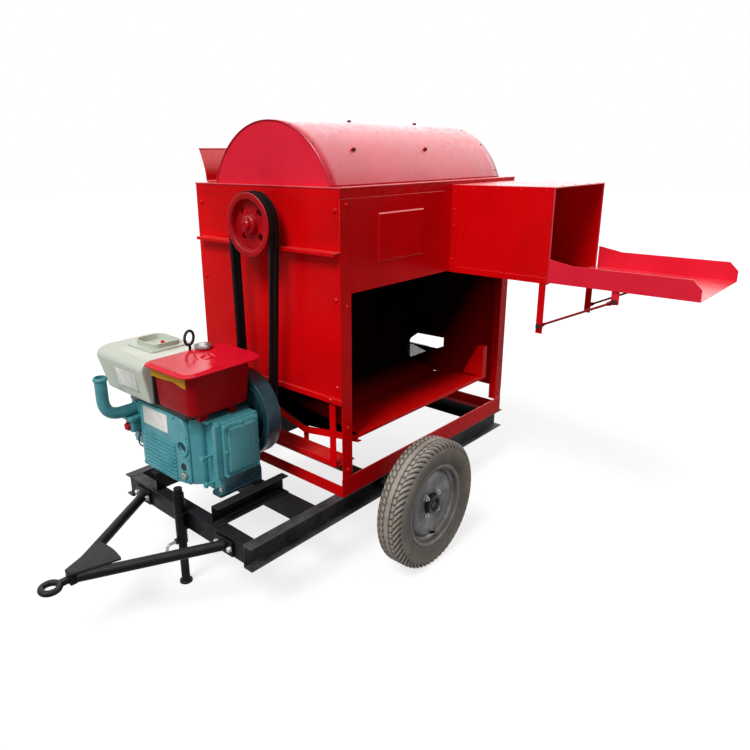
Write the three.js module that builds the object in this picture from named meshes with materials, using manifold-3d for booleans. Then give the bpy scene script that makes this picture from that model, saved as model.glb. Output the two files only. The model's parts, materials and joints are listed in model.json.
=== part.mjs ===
// A trailer-mounted threshing machine, in millimetres.
// X runs from the hitch to the rear, Y from the feeding side to the far side, Z up from the ground.
// Sizes are given from three lines of the real machine: the front face of the threshing body,
// the middle of the chassis and the ground. The last lines move the origin to the middle of the
// ground area that the machine covers.
import * as THREE from "three";
import { mergeVertices } from "three/addons/utils/BufferGeometryUtils.js";
import Module from "manifold-3d";

const wasm = await Module();
wasm.setup();

// Shared clearances and plate thicknesses
const fit = 0.3;
const overrun = 40;
const sheet = 2.5;

// Chassis channels
const railTop = 329;
const railDepth = 100;
const railFlange = 49;
const railWall = 6;
const webReach = 399;
const frontOverhang = 502;
const rearOverhang = 28;
const beamDepth = 80;
const beamFlange = 58;
const beamWall = 6;
const middleBeamFront = -175;
const rearBeamInset = 62;
const engineRailDepth = 80;
const engineRailFlange = 43;
const engineRailWall = 5;
const engineRailReach = 197;
const engineRailFront = -490;

// Drawbar and hitch
const drawTubeRadius = 21;
const drawRootReach = 290;
const drawRootHeight = 283;
const drawTipX = -965;
const drawTipReach = 14;
const drawTipHeight = 255;
const drawPlateWidth = 112;
const drawPlateHeight = 62;
const drawPlateThickness = 8;
const eyeX = -1057;
const eyeHeight = 250;
const eyeRingRadius = 31.5;
const eyeBarRadius = 12;
const shankWidth = 40;
const shankDepth = 46;
const shankLength = 26;
const gussetThickness = 6;
const gussetEnd = -820;
const gussetReach = 82;

// Prop leg, its sleeve and its clamp
const propY = -25;
const sleeveRadius = 22.5;
const sleeveWall = 4.5;
const sleeveBottom = 190;
const sleeveTop = 415;
const sleevePadReach = 20;
const propClearance = 0.5;
const propTop = 440;
const footRadius = 27;
const footThickness = 10;
const clampHeight = 205;
const clampRadius = 6;
const clampReach = 46;
const clampHandle = 52;
const clampBossRadius = 13;
const clampBossLength = 10;

// Axle and wheels
const axleX = 280;
const axleHeight = 283.5;
const axleRadius = 25;
const axlePlateHalf = 42;
const axlePlateThickness = 8;
const spindleRadius = 17.7;
const wheelReach = 681;
const tyreRadius = 283.5;
const tyreHalfWidth = 61;
const treadHalfWidth = 41;
const shoulderHalfWidth = 54;
const shoulderDrop = 13;
const bulgeRadius = 226;
const rimFlangeRadius = 183;
const rimSeatRadius = 160;
const rimHalfWidth = 51;
const rimWall = 4;
const discInset = 25;
const discDish = 9;
const discDishRadius = 118;
const discDishInnerRadius = 96;
const hubHoleRadius = 45;
const hubNoseRadius = 42;
const hubNoseLength = 27;
const hubFlangeRadius = 70;
const hubFlangeThickness = 12;
const hubBarrelRadius = 40;
const studCircleRadius = 56;
const studRadius = 6;
const studLength = 22;
const nutRadius = 11.5;
const nutThickness = 10;
const wheelNuts = 4;

// Threshing body
const bodyLength = 1300;
const bodyWidth = 896;
const rimTop = 1603;
const rimDepth = 40;
const rimLeg = 62;
const angleWall = 5;
const baseSideHeight = 86;
const baseEndHeight = 52;
const baseLeg = 50;
const postWidth = 62;
const postLeg = 40;
const frontPanelBottom = 746;
const lipHeight = 24;
const lipDepth = 6;
const stiffenerTop = 1367;
const stiffenerDepth = 38;
const stiffenerFarInset = 30;
const stiffenerLeg = 14;
const rearPanelBottom = 470;
const chaffLow = 511;
const chaffHigh = 700;
const chaffNear = -58;
const chaffFar = 187;
const nearPanelBottom = 1200;
const embossLeft = 221;
const embossRight = 528;
const embossLow = 1304;
const embossHigh = 1498;
const embossHeight = 5;
const embossBevel = 5;

// Drum cover and straw deflector
const coverRadius = 370;
const coverCentreY = -37;
const coverCentreZ = 1487;
const coverFront = 14;
const coverRearInset = 50;
const coverSheet = 3;
const outletEnd = 400;
const outletFront = 62;
const outletTopZ = 1745;
const deckReach = 440;
const lugWidth = 22;
const lugHeight = 14;
const lugThickness = 5;
const lugTurns = [137, 137, 88, 88];
const lugPlaces = [222, 705, 510, 1000];
const deflectorRise = 150;
const deflectorFlare = 44;
const deflectorFoot = 30;
const deflectorSteps = 6;

// Feed box and folding tray
const feedFront = 737;
const feedRear = 1240;
const feedReach = 930;
const feedBottom = 1196;
const feedTop = 1586;
const bandHeight = 26;
const bandDepth = 3;
const jointAngleWidth = 34;
const knuckleRadius = 5;
const knuckles = 5;
const knuckleGap = 1;
const trayReach = 1516;
const trayWallHeight = 76;
const trayCheekRise = 20;
const trayCheekLength = 108;
const trayChamfer = 34;
const traySideGap = 1;
const trayAxisRise = 10;
const strutWidth = 30;
const strutThickness = 5;
const strutSetback = 19;
const strutLength = 215;
const pivotRise = 34;
const braceRadius = 5;
const braceEyeRadius = 12;
const bracketReach = 1214;
const bracketWidth = 30;
const bracketDrop = 56;
const bracketHoleDrop = 44;

// Grain pan and its hanger
const panFront = 113;
const panRearInset = 160;
const panValleyY = -110;
const panValleyZ = 530;
const panNearY = -440;
const panNearZ = 582;
const panFarZ = 690;
const panLip = 15;
const panGussetTop = 745;
const panGussetReach = 120;
const panWallBack = 38;
const hangerY = 390;
const hangerWidth = 34;
const hangerBottom = 454;
const hangerTop = 800;
const hangerRailHeight = 26;
const hangerRailDepth = 118;
const hangerPost = 30;

// Drum, shaft, concave and bearings
const drumY = -38;
const drumZ = 1452;
const shaftRadius = 20;
const shaftFront = -122;
const shaftRearReach = 46;
const shaftNutRadius = 30;
const shaftNutLength = 13;
const drumFront = 62;
const drumRearInset = 62;
const drumDiscRadius = 232;
const drumDiscThickness = 8;
const drumDiscs = 4;
const drumBars = 6;
const drumBarRadius = 218;
const drumBarWidth = 46;
const drumBarDepth = 30;
const toothRadius = 8;
const toothTip = 304;
const teethPerBar = 8;
const toothSides = 4;
const toothInset = 40;
const concaveInner = 322;
const concaveOuter = 340;
const concaveRibs = 5;
const concaveRibWidth = 9;
const concaveBars = 9;
const concaveBarSize = 8;
const concaveSpan = 130;
const bearingFlangeHalf = 58;
const bearingFlangeThickness = 12;
const bearingBossRadius = 42;
const bearingLength = 33;

// Pulleys and belts
const pulleyFront = -108;
const pulleyWidth = 62;
const pulleyRadius = 129;
const enginePulleyRadius = 94;
const pulleyRimThickness = 25;
const pulleyWebThickness = 14;
const pulleyHubRadius = 38;
const webHoles = 4;
const webHoleRadius = 17;
const beltWidth = 22;
const beltThickness = 14;
const beltProud = 4;
const beltPitch = 26;
const beltBottomWidth = 13;
const grooveClearance = 2;

// Engine
const crankY = -20;
const crankZ = 660;
const engineFoot = 409;
const crankcaseFront = -455;
const crankcaseBack = -210;
const crankcaseNear = -170;
const crankcaseFar = 325;
const crankcaseTop = 715;
const noseBack = -418;
const noseNear = -70;
const noseLow = 430;
const nosePocketBack = -400;
const sideFlangeFront = -428;
const sideFlangeLow = 481;
const sideFlangeThickness = 20;
const footFront = -430;
const footNear = -182;
const footWidth = 60;
const footHeight = 16;
const gearFront = -465;
const gearBack = -385;
const gearNear = -35;
const gearCorner = 45;
const gearToeRise = 20;
const gearToeRun = 120;
const gearRibs = 9;
const gearRibHeight = 5;
const gearRibDepth = 4;
const gearRibLow = 428;
const gearRibPitch = 18;
const startRecessRadius = 27;
const startRecessDepth = 12;
const startRecessY = 4;
const startRecessZ = 585;
const fillerRadius = 15;
const fillerLength = 14;
const fillerY = 0;
const fillerZ = 465;
const sideCoverFront = -398;
const sideCoverBack = -227;
const sideCoverLow = 486;
const sideCoverHigh = 713;
const sideCoverThickness = 16;
const sideCoverRib = 5;
const headFront = -425;
const headBack = -245;
const headReach = 500;
const headLow = 468;
const headHigh = 692;
const headCoverInset = 26;
const headCoverDepth = 34;
const exhaustRadius = 26;
const exhaustWall = 4;
const exhaustY = 382;
const exhaustZ = 657;
const exhaustX = -596;
const exhaustTop = 838;
const exhaustFlangeHalf = 36;
const exhaustFlangeThickness = 10;
const exhaustCollarHeight = 16;
const exhaustCollarProud = 5;
const hopperFront = -528;
const hopperBack = -180;
const hopperNear = 160;
const hopperFar = 566;
const hopperBottom = 742;
const hopperTop = 930;
const hopperCorner = 52;
const hopperTaper = 26;
const hopperShoulder = 42;
const hopperNeckInset = 90;
const hopperNeckFar = 315;
const hopperPocketDepth = 70;
const funnelPlateThickness = 6;
const funnelPlateX = -330;
const funnelPlateY = 345;
const funnelPlateHalfX = 95;
const funnelPlateHalfY = 106;
const funnelHalfX = 68;
const funnelHalfY = 82;
const funnelWall = 4;
const funnelHeight = 26;
const funnelCorner = 34;
const tankFront = -498;
const tankBack = -196;
const tankNear = -135;
const tankFar = 146;
const tankBottom = 748;
const tankTop = 925;
const tankCorner = 24;
const tankTaper = 7;
const tankSaddleWidth = 40;
const lidFront = -530;
const lidBack = -136;
const lidNear = -150;
const lidThickness = 15;
const lidCorner = 26;
const capX = -255;
const capY = 112;
const capRadius = 38;
const capHeight = 18;
const capNeckRadius = 20;
const capNeckHeight = 8;
const eyeBoltX = -296;
const eyeBoltY = 153;
const eyeBoltRadius = 5;
const eyeBoltRing = 36;
const eyeBoltTop = 1023;
const eyeBoltTurn = 18;
const flywheelFront = -192;
const flywheelBack = -117;
const flywheelRadius = 191;
const flywheelRim = 36;
const flywheelDish = 18;
const flywheelHubRadius = 62;

// Smoothness: straight sides used for a full turn
const coarseTurn = 12;
const mediumTurn = 16;
const fineTurn = 32;
const wheelTurn = 24;
const beltSteps = 16;
const cornerSteps = 4;
const pipeSteps = 12;

// Places that several pieces share
const nearSide = -bodyWidth / 2;
const farSide = bodyWidth / 2;
const beamFront = -frontOverhang;
const channelWeb = webReach - fit;
const sleeveX = beamFront - fit - sleeveRadius;
const panelBack = sheet + fit;
const panelTop = rimTop - rimDepth - fit;
const strutY = -(feedReach - strutSetback);
const strutBottom = feedBottom - strutLength;
const pivotHeight = strutBottom + pivotRise;
const trayAxisHeight = feedBottom + trayAxisRise;
const bracketBottom = trayAxisHeight - bracketDrop;
const bracketHoleHeight = trayAxisHeight - bracketHoleDrop;
const coverRear = bodyLength - coverRearInset;
const panRear = bodyLength - panRearInset;
const drumRear = bodyLength - drumRearInset;
const shaftRear = bodyLength + shaftRearReach;
const beltRadius = pulleyRadius + beltProud;
const engineBeltRadius = enginePulleyRadius + beltProud;
const degree = Math.PI / 180;
const fullTurn = 2 * Math.PI;

// Finishes
const finish = (color, roughness, metalness) =>
  new THREE.MeshStandardMaterial({ color, roughness, metalness });
const red = () => finish("#b80f12", 0.42, 0.1);
const darkRed = () => finish("#8c1016", 0.35, 0.15);
const black = () => finish("#16181b", 0.5, 0.2);
const teal = () => finish("#2f6f74", 0.4, 0.2);
const palegreen = () => finish("#a9ad97", 0.45, 0.1);
const rubber = () => finish("#3b3733", 0.95, 0);
const silver = () => finish("#a7a9ac", 0.45, 0.8);
const castIron = () => finish("#4a4c4e", 0.6, 0.6);
const steel = () => finish("#8a8d90", 0.4, 0.85);
const beltBlack = () => finish("#101010", 0.85, 0);

// Solids: welding, joining and cutting
function solidOf(geometry) {
  const bare = geometry.clone();
  bare.deleteAttribute("normal");
  bare.deleteAttribute("uv");
  const welded = mergeVertices(bare);
  const place = welded.attributes.position.array;
  const corners = welded.index.array;
  const kept = [];
  let volume = 0;
  for (let i = 0; i < corners.length; i += 3) {
    const [a, b, c] = [corners[i], corners[i + 1], corners[i + 2]];
    if (a === b || b === c || c === a) continue;
    kept.push(a, b, c);
    const [p, q, r] = [a, b, c].map((n) => new THREE.Vector3().fromArray(place, 3 * n));
    volume += p.dot(q.cross(r));
  }
  if (volume < 0) kept.reverse();
  return new wasm.Manifold(new wasm.Mesh({
    numProp: 3,
    vertProperties: new Float32Array(place),
    triVerts: new Uint32Array(kept),
  }));
}

function geometryOf(solid) {
  const mesh = solid.getMesh();
  const geometry = new THREE.BufferGeometry();
  geometry.setAttribute("position", new THREE.BufferAttribute(mesh.vertProperties, 3));
  geometry.setIndex(new THREE.BufferAttribute(mesh.triVerts, 1));
  const flat = geometry.toNonIndexed();
  flat.computeVertexNormals();
  return flat;
}

const join = (...pieces) => geometryOf(
  pieces.map(solidOf).reduce((whole, piece) => whole.add(piece)));
const cut = (piece, ...tools) => geometryOf(
  tools.map(solidOf).reduce((whole, tool) => whole.subtract(tool), solidOf(piece)));

// Plain forms
const count = (number) => Array.from({ length: number }, (_, index) => index);

function block([x0, x1], [y0, y1], [z0, z1]) {
  const box = new THREE.BoxGeometry(x1 - x0, y1 - y0, z1 - z0);
  return box.translate((x0 + x1) / 2, (y0 + y1) / 2, (z0 + z1) / 2);
}

function outline(points, hole) {
  const shape = new THREE.Shape(points.map(([a, b]) => new THREE.Vector2(a, b)));
  if (hole) shape.holes.push(new THREE.Path(hole.map(([a, b]) => new THREE.Vector2(a, b))));
  return shape;
}

const drawn = (shape, length) =>
  new THREE.ExtrudeGeometry(shape, { depth: length, bevelEnabled: false });

// An outline in (y, z) carried along X, in (x, z) along Y, and in (x, y) along Z
function alongX(shape, length) {
  const turn = new THREE.Matrix4().set(0, 0, 1, 0, 1, 0, 0, 0, 0, 1, 0, 0, 0, 0, 0, 1);
  return drawn(shape, length).applyMatrix4(turn);
}
const alongY = (shape, length) =>
  drawn(shape, length).rotateX(Math.PI / 2).translate(0, length, 0);
const alongZ = (shape, length) => drawn(shape, length);

function rod(from, to, radius, sides = coarseTurn) {
  const start = new THREE.Vector3(...from);
  const run = new THREE.Vector3(...to).sub(start);
  const length = run.length();
  const bar = new THREE.CylinderGeometry(radius, radius, length, sides);
  const up = new THREE.Vector3(0, 1, 0);
  bar.translate(0, length / 2, 0);
  bar.applyQuaternion(new THREE.Quaternion().setFromUnitVectors(up, run.normalize()));
  return bar.translate(start.x, start.y, start.z);
}

// The radius of a faceted bore that a faceted shaft can turn in
const runningBore = (radius, sides) => (radius + fit) / Math.cos(Math.PI / sides);

// Turned forms: profile points are (radius, place along the axis)
const turned = (profile, sides) => new THREE.LatheGeometry(
  [...profile, profile[0]].map(([radius, along]) => new THREE.Vector2(radius, along)), sides);
const turnedX = (profile, sides = wheelTurn) => turned(profile, sides).rotateZ(-Math.PI / 2);
const turnedY = (profile, sides = fineTurn) => turned(profile, sides);
const turnedZ = (profile, sides = mediumTurn) => turned(profile, sides).rotateX(Math.PI / 2);

// A ring of points round a rectangle with round corners, at one height
function roundedRing([x0, x1], [y0, y1], corner, height) {
  const corners = [[x1 - corner, y1 - corner], [x0 + corner, y1 - corner],
    [x0 + corner, y0 + corner], [x1 - corner, y0 + corner]];
  return corners.flatMap(([x, y], quarter) => count(cornerSteps + 1).map((step) => {
    const angle = (quarter + step / cornerSteps) * Math.PI / 2;
    return [x + corner * Math.cos(angle), y + corner * Math.sin(angle), height];
  }));
}

// A closed skin over a stack of rings that all have as many points
function loft(rings) {
  const size = rings[0].length;
  const triangles = [];
  const last = (rings.length - 1) * size;
  for (let ring = 0; ring < rings.length - 1; ring += 1) {
    for (let i = 0; i < size; i += 1) {
      const next = (i + 1) % size;
      const [a, b] = [ring * size + i, ring * size + next];
      triangles.push(a, b, b + size, a, b + size, a + size);
    }
  }
  for (let i = 1; i < size - 1; i += 1) {
    triangles.push(0, i + 1, i, last, last + i, last + i + 1);
  }
  const geometry = new THREE.BufferGeometry();
  geometry.setAttribute("position", new THREE.Float32BufferAttribute(rings.flat(2), 3));
  geometry.setIndex(triangles);
  return geometry;
}

const plate = (xs, ys, corner, zs) =>
  loft(zs.map((height) => roundedRing(xs, ys, corner, height)));

function part(name, material, geometry, place = [0, 0, 0]) {
  const mesh = new THREE.Mesh(geometryOf(solidOf(geometry)), material);
  mesh.name = name;
  mesh.position.set(...place);
  return mesh;
}

function assembly(place, ...members) {
  const group = new THREE.Group();
  group.position.set(...place);
  group.add(...members);
  return group;
}

// Channel and angle sections; side is 1 or -1 for the way the flanges point
const channel = (depth, flange, wall, side) => outline([
  [0, 0], [side * flange, 0], [side * flange, wall], [side * wall, wall],
  [side * wall, depth - wall], [side * flange, depth - wall], [side * flange, depth], [0, depth]]);
const angle = (upright, leg, wall, side) => outline([
  [0, 0], [side * leg, 0], [side * leg, wall], [side * wall, wall],
  [side * wall, upright], [0, upright]]);

// Chassis
function sideRail(name, side) {
  const length = frontOverhang + bodyLength + rearOverhang;
  const bar = alongX(channel(railDepth, railFlange, railWall, side), length);
  const axleHole = rod([axleX + frontOverhang, -overrun, axleHeight - railTop + railDepth],
    [axleX + frontOverhang, overrun, axleHeight - railTop + railDepth],
    axleRadius + fit, mediumTurn);
  return part(name, black(), cut(bar, axleHole),
    [-frontOverhang, side * webReach, railTop - railDepth]);
}

function crossBeam(name, front, side) {
  const bar = alongY(channel(beamDepth, beamFlange, beamWall, side), 2 * channelWeb);
  return part(name, black(), bar, [front, -channelWeb, railTop - beamDepth]);
}

function engineRail(name, side) {
  const length = middleBeamFront + beamFlange - engineRailFront;
  const section = channel(engineRailDepth - fit, engineRailFlange, engineRailWall, side);
  return part(name, black(), alongX(section, length),
    [engineRailFront, side * engineRailReach, railTop + fit]);
}

// Height of the middle line of a drawbar tube at any place along the machine
const drawHeight = (x) => drawTipHeight
  + (drawRootHeight - drawTipHeight) * (x - drawTipX) / (beamFront - drawTipX);

function drawbarLeg(name, side) {
  const root = new THREE.Vector3(beamFront - fit, side * drawRootReach, drawRootHeight);
  const tip = new THREE.Vector3(drawTipX, side * drawTipReach, drawTipHeight);
  const run = tip.clone().sub(root).normalize();
  const start = root.clone().addScaledVector(run, -overrun);
  const end = tip.clone().addScaledVector(run, overrun);
  const tube = rod(start.toArray(), end.toArray(), drawTubeRadius, mediumTurn);
  const faceX = beamFront - fit;
  const aside = [side * drawRootReach - drawPlateWidth / 2, side * drawRootReach + drawPlateWidth / 2];
  const flange = block([faceX - drawPlateThickness, faceX], aside,
    [drawRootHeight - drawPlateHeight / 2, drawRootHeight + drawPlateHeight / 2]);
  const across = [-overrun, overrun].map((reach) => side * drawTipReach + reach);
  const heights = [drawTipHeight - overrun, drawTipHeight + overrun];
  const pastTip = block([drawTipX - 2 * overrun, drawTipX], across.map((y) => 2 * y), heights);
  const otherSide = side > 0
    ? block([drawTipX - 2 * overrun, gussetEnd], [-2 * overrun, fit / 2], heights)
    : block([drawTipX - 2 * overrun, gussetEnd], [-fit / 2, 2 * overrun], heights);
  const behind = block([faceX, faceX + 2 * overrun],
    [side * drawRootReach - drawPlateWidth, side * drawRootReach + drawPlateWidth],
    [drawRootHeight - drawPlateHeight, drawRootHeight + drawPlateHeight]);
  return part(name, black(), cut(join(tube, flange), pastTip, otherSide, behind));
}

function hitchEye() {
  const ring = new THREE.TorusGeometry(eyeRingRadius, eyeBarRadius, coarseTurn, mediumTurn);
  ring.translate(eyeX, 0, eyeHeight);
  const shankBack = drawTipX - fit;
  const shank = block([shankBack - shankLength, shankBack], [-shankWidth / 2, shankWidth / 2],
    [eyeHeight - shankDepth / 2, drawHeight(drawTipX) + drawTubeRadius + gussetThickness]);
  const neckStart = eyeX + eyeRingRadius;
  const neck = block([neckStart, shankBack - shankLength / 2], [-eyeBarRadius, eyeBarRadius],
    [eyeHeight - eyeBarRadius, eyeHeight + eyeBarRadius]);
  const rise = drawTubeRadius + fit;
  const plateTip = shankBack - shankLength;
  const plan = [[plateTip, -shankWidth / 2], [gussetEnd, -gussetReach], [gussetEnd, gussetReach],
    [plateTip, shankWidth / 2]];
  const gusset = loft([0, gussetThickness].map((up) =>
    plan.map(([x, y]) => [x, y, drawHeight(x) + rise + up])));
  return part("hitch_eye", black(), join(ring, neck, shank, gusset));
}

function propSleeve() {
  const tube = rod([sleeveX, propY, sleeveBottom], [sleeveX, propY, sleeveTop],
    sleeveRadius, mediumTurn);
  const pad = block([sleeveX, beamFront - fit], [propY - sleevePadReach, propY + sleevePadReach],
    [railTop - beamDepth, railTop]);
  const bossFace = sleeveX - sleeveRadius - clampBossLength;
  const boss = rod([bossFace, propY, clampHeight], [sleeveX, propY, clampHeight], clampBossRadius);
  const bore = rod([sleeveX, propY, sleeveBottom - overrun],
    [sleeveX, propY, sleeveTop + overrun], sleeveRadius - sleeveWall, mediumTurn);
  const screwHole = rod([bossFace - overrun, propY, clampHeight],
    [sleeveX, propY, clampHeight], runningBore(clampRadius, coarseTurn));
  return part("prop_sleeve", black(), cut(join(tube, pad, boss), bore, screwHole));
}

const propRadius = sleeveRadius - sleeveWall - propClearance;

function propLeg() {
  const leg = rod([sleeveX, propY, 0], [sleeveX, propY, propTop], propRadius, mediumTurn);
  const foot = rod([sleeveX, propY, 0], [sleeveX, propY, footThickness], footRadius, mediumTurn);
  return part("prop_leg", black(), join(leg, foot));
}

function propClampScrew() {
  const tip = sleeveX - propRadius - fit;
  const bend = sleeveX - sleeveRadius - clampReach;
  const screw = rod([tip, propY, clampHeight], [bend, propY, clampHeight], clampRadius);
  const knee = new THREE.SphereGeometry(clampRadius, coarseTurn, coarseTurn / 2)
    .translate(bend, propY, clampHeight);
  const handle = rod([bend, propY, clampHeight],
    [bend - clampHandle / 3, propY, clampHeight - clampHandle], clampRadius);
  return part("prop_clamp_screw", steel(), join(screw, knee, handle));
}

function axle() {
  const hubEnd = wheelReach - rimHalfWidth;
  const bar = rod([axleX, -(hubEnd - fit), axleHeight], [axleX, hubEnd - fit, axleHeight],
    axleRadius, mediumTurn);
  const spindleEnd = wheelReach + rimHalfWidth / 2;
  const spindle = rod([axleX, -spindleEnd, axleHeight], [axleX, spindleEnd, axleHeight],
    spindleRadius, mediumTurn);
  const plates = [-1, 1].map((side) => {
    const faces = [side * channelWeb, side * (channelWeb - axlePlateThickness)];
    return block([axleX - axlePlateHalf, axleX + axlePlateHalf],
      faces.sort((a, b) => a - b), [axleHeight - axlePlateHalf, axleHeight + axlePlateHalf]);
  });
  return part("axle", black(), join(bar, spindle, ...plates));
}

// Wheel pieces lie round the Y axis, with the outer face towards -Y
function tyre(name) {
  const seat = rimSeatRadius + fit;
  const bead = rimHalfWidth - rimWall - fit;
  const clear = rimFlangeRadius + fit;
  const half = [[seat, bead], [clear, bead], [clear, rimHalfWidth],
    [bulgeRadius, tyreHalfWidth], [tyreRadius - shoulderDrop, shoulderHalfWidth],
    [tyreRadius, treadHalfWidth]];
  const profile = [...half, ...half.map(([r, y]) => [r, -y]).reverse()];
  return part(name, rubber(), turnedY(profile));
}

function rim(name) {
  const inside = rimSeatRadius - rimWall;
  const disc = discInset - rimHalfWidth;
  const profile = [[rimFlangeRadius, -rimHalfWidth], [rimFlangeRadius, rimWall - rimHalfWidth],
    [rimSeatRadius, rimWall - rimHalfWidth], [rimSeatRadius, rimHalfWidth - rimWall],
    [rimFlangeRadius, rimHalfWidth - rimWall], [rimFlangeRadius, rimHalfWidth],
    [inside, rimHalfWidth], [inside, disc + rimWall - discDish],
    [discDishRadius, disc + rimWall - discDish], [discDishInnerRadius, disc + rimWall],
    [hubHoleRadius, disc + rimWall], [hubHoleRadius, disc], [discDishInnerRadius, disc],
    [discDishRadius, disc - discDish], [inside, disc - discDish], [inside, -rimHalfWidth]];
  const studHoles = count(wheelNuts).map((index) => {
    const [x, z] = studPlace(index);
    return rod([x, disc - overrun, z], [x, disc + overrun, z], studRadius + fit);
  });
  return part(name, silver(), cut(turnedY(profile), ...studHoles));
}

function studPlace(index) {
  const turn = (index + 1 / 2) * fullTurn / wheelNuts;
  return [studCircleRadius * Math.cos(turn), studCircleRadius * Math.sin(turn)];
}

function hub(name) {
  const disc = discInset - rimHalfWidth;
  const back = disc + rimWall + fit;
  const bore = runningBore(spindleRadius, mediumTurn);
  const boreEnd = -(rimHalfWidth / 2 + fit);
  const profile = [[0, disc - hubNoseLength], [hubNoseRadius, disc - hubNoseLength],
    [hubNoseRadius, back], [hubFlangeRadius, back], [hubFlangeRadius, back + hubFlangeThickness],
    [hubBarrelRadius, back + hubFlangeThickness], [hubBarrelRadius, rimHalfWidth],
    [bore, rimHalfWidth], [bore, boreEnd], [0, boreEnd]];
  const studs = count(wheelNuts).map((index) => {
    const [x, z] = studPlace(index);
    return join(rod([x, back, z], [x, disc - studLength, z], studRadius),
      rod([x, disc - fit, z], [x, disc - fit - nutThickness, z], nutRadius, 6));
  });
  return part(name, castIron(), join(turnedY(profile, mediumTurn), ...studs));
}

function wheel(side, sideName) {
  const group = assembly([axleX, side * wheelReach, axleHeight],
    tyre(`${sideName}_tyre`), rim(`${sideName}_rim`), hub(`${sideName}_hub`));
  group.rotation.z = side > 0 ? Math.PI : 0;
  return group;
}

// Threshing body
function baseFrame() {
  const sideBar = (side) => alongX(angle(baseSideHeight, baseLeg, angleWall, -side), bodyLength)
    .translate(0, side * bodyWidth / 2, 0);
  const endBar = (start, side) => alongY(angle(baseEndHeight, baseLeg, angleWall, side), bodyWidth)
    .translate(start, nearSide, 0);
  return part("base_frame", red(),
    join(sideBar(-1), sideBar(1), endBar(0, 1), endBar(bodyLength, -1)), [0, 0, railTop + fit]);
}

function cornerPost(name, end, side) {
  const bottom = railTop + 2 * fit + baseSideHeight;
  const section = outline([[panelBack, 0], [postWidth, 0], [postWidth, postLeg],
    [postWidth - angleWall, postLeg], [postWidth - angleWall, angleWall], [panelBack, angleWall]]
    .map(([x, y]) => [end * x, -side * y]));
  return part(name, red(), alongZ(section, panelTop - bottom),
    [end > 0 ? 0 : bodyLength, side * bodyWidth / 2, bottom]);
}

function topRim() {
  const low = rimTop - rimDepth;
  const outer = block([0, bodyLength], [nearSide, farSide], [low, rimTop]);
  const under = block([angleWall, bodyLength - angleWall], [nearSide + angleWall, farSide - angleWall],
    [low - overrun, rimTop - angleWall]);
  const hole = block([rimLeg, bodyLength - rimLeg], [nearSide + rimLeg, farSide - rimLeg],
    [low - overrun, rimTop + overrun]);
  return part("top_rim", red(), cut(outer, under, hole));
}

function shaftHole() {
  return rod([-overrun, drumY, drumZ], [bodyLength + overrun, drumY, drumZ],
    shaftRadius + bearingFlangeThickness, mediumTurn);
}

function frontPanel() {
  const skin = block([0, sheet], [nearSide, farSide], [frontPanelBottom, panelTop]);
  const lip = block([-lipDepth, 0], [nearSide, farSide],
    [frontPanelBottom, frontPanelBottom + lipHeight]);
  const across = [nearSide, farSide - stiffenerFarInset];
  const ledge = block([-stiffenerDepth, 0], across,
    [stiffenerTop - angleWall, stiffenerTop]);
  const leg = block([-stiffenerDepth, angleWall - stiffenerDepth], across,
    [stiffenerTop - stiffenerLeg, stiffenerTop]);
  return part("front_panel", red(), cut(join(skin, lip, ledge, leg), shaftHole()));
}

function rearPanel() {
  const skin = block([bodyLength - sheet, bodyLength], [nearSide, farSide],
    [rearPanelBottom, panelTop]);
  const chaffOpening = block([bodyLength - overrun, bodyLength + overrun],
    [chaffNear, chaffFar], [chaffLow, chaffHigh]);
  return part("rear_panel", red(), cut(skin, shaftHole(), chaffOpening));
}

function farPanel() {
  const skin = block([postWidth + fit, bodyLength - postWidth - fit], [farSide - sheet, farSide],
    [railTop + 2 * fit + baseSideHeight, panelTop]);
  return part("far_panel", red(), skin);
}

function nearPanel() {
  const skin = block([postWidth + fit, feedFront - fit], [nearSide, nearSide + sheet],
    [nearPanelBottom, panelTop]);
  const face = (inset) => [[embossLeft + inset, embossLow + inset],
    [embossRight - inset, embossLow + inset], [embossRight - inset, embossHigh - inset],
    [embossLeft + inset, embossHigh - inset]];
  const raised = loft([
    face(0).map(([x, z]) => [x, nearSide, z]),
    face(embossBevel).map(([x, z]) => [x, nearSide - embossHeight, z])]);
  const fold = block([postWidth + fit, feedFront - fit],
    [nearSide, nearSide + postLeg / 2], [nearPanelBottom, nearPanelBottom + sheet]);
  return part("near_panel", red(), join(skin, raised, fold));
}

// The round cover: a flat-bottomed slice of a cylinder about the cover's own centre
function coverSlice(radius, bottom) {
  const start = Math.asin((bottom - coverCentreZ) / radius);
  const sweep = Math.PI - 2 * start;
  return outline(count(fineTurn / 2 + 1).map((step) => {
    const turn = start + sweep * step / (fineTurn / 2);
    return [coverCentreY + radius * Math.cos(turn), coverCentreZ + radius * Math.sin(turn)];
  }));
}

function coverLug(x, degrees) {
  const [low, high] = [coverRadius - coverSheet, coverRadius + lugHeight];
  return block([x, x + lugWidth], [low, high], [-lugThickness / 2, lugThickness / 2])
    .applyMatrix4(new THREE.Matrix4().makeRotationX((degrees - 90) * degree))
    .applyMatrix4(new THREE.Matrix4().makeRotationX(Math.PI / 2))
    .translate(0, coverCentreY, coverCentreZ);
}

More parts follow.
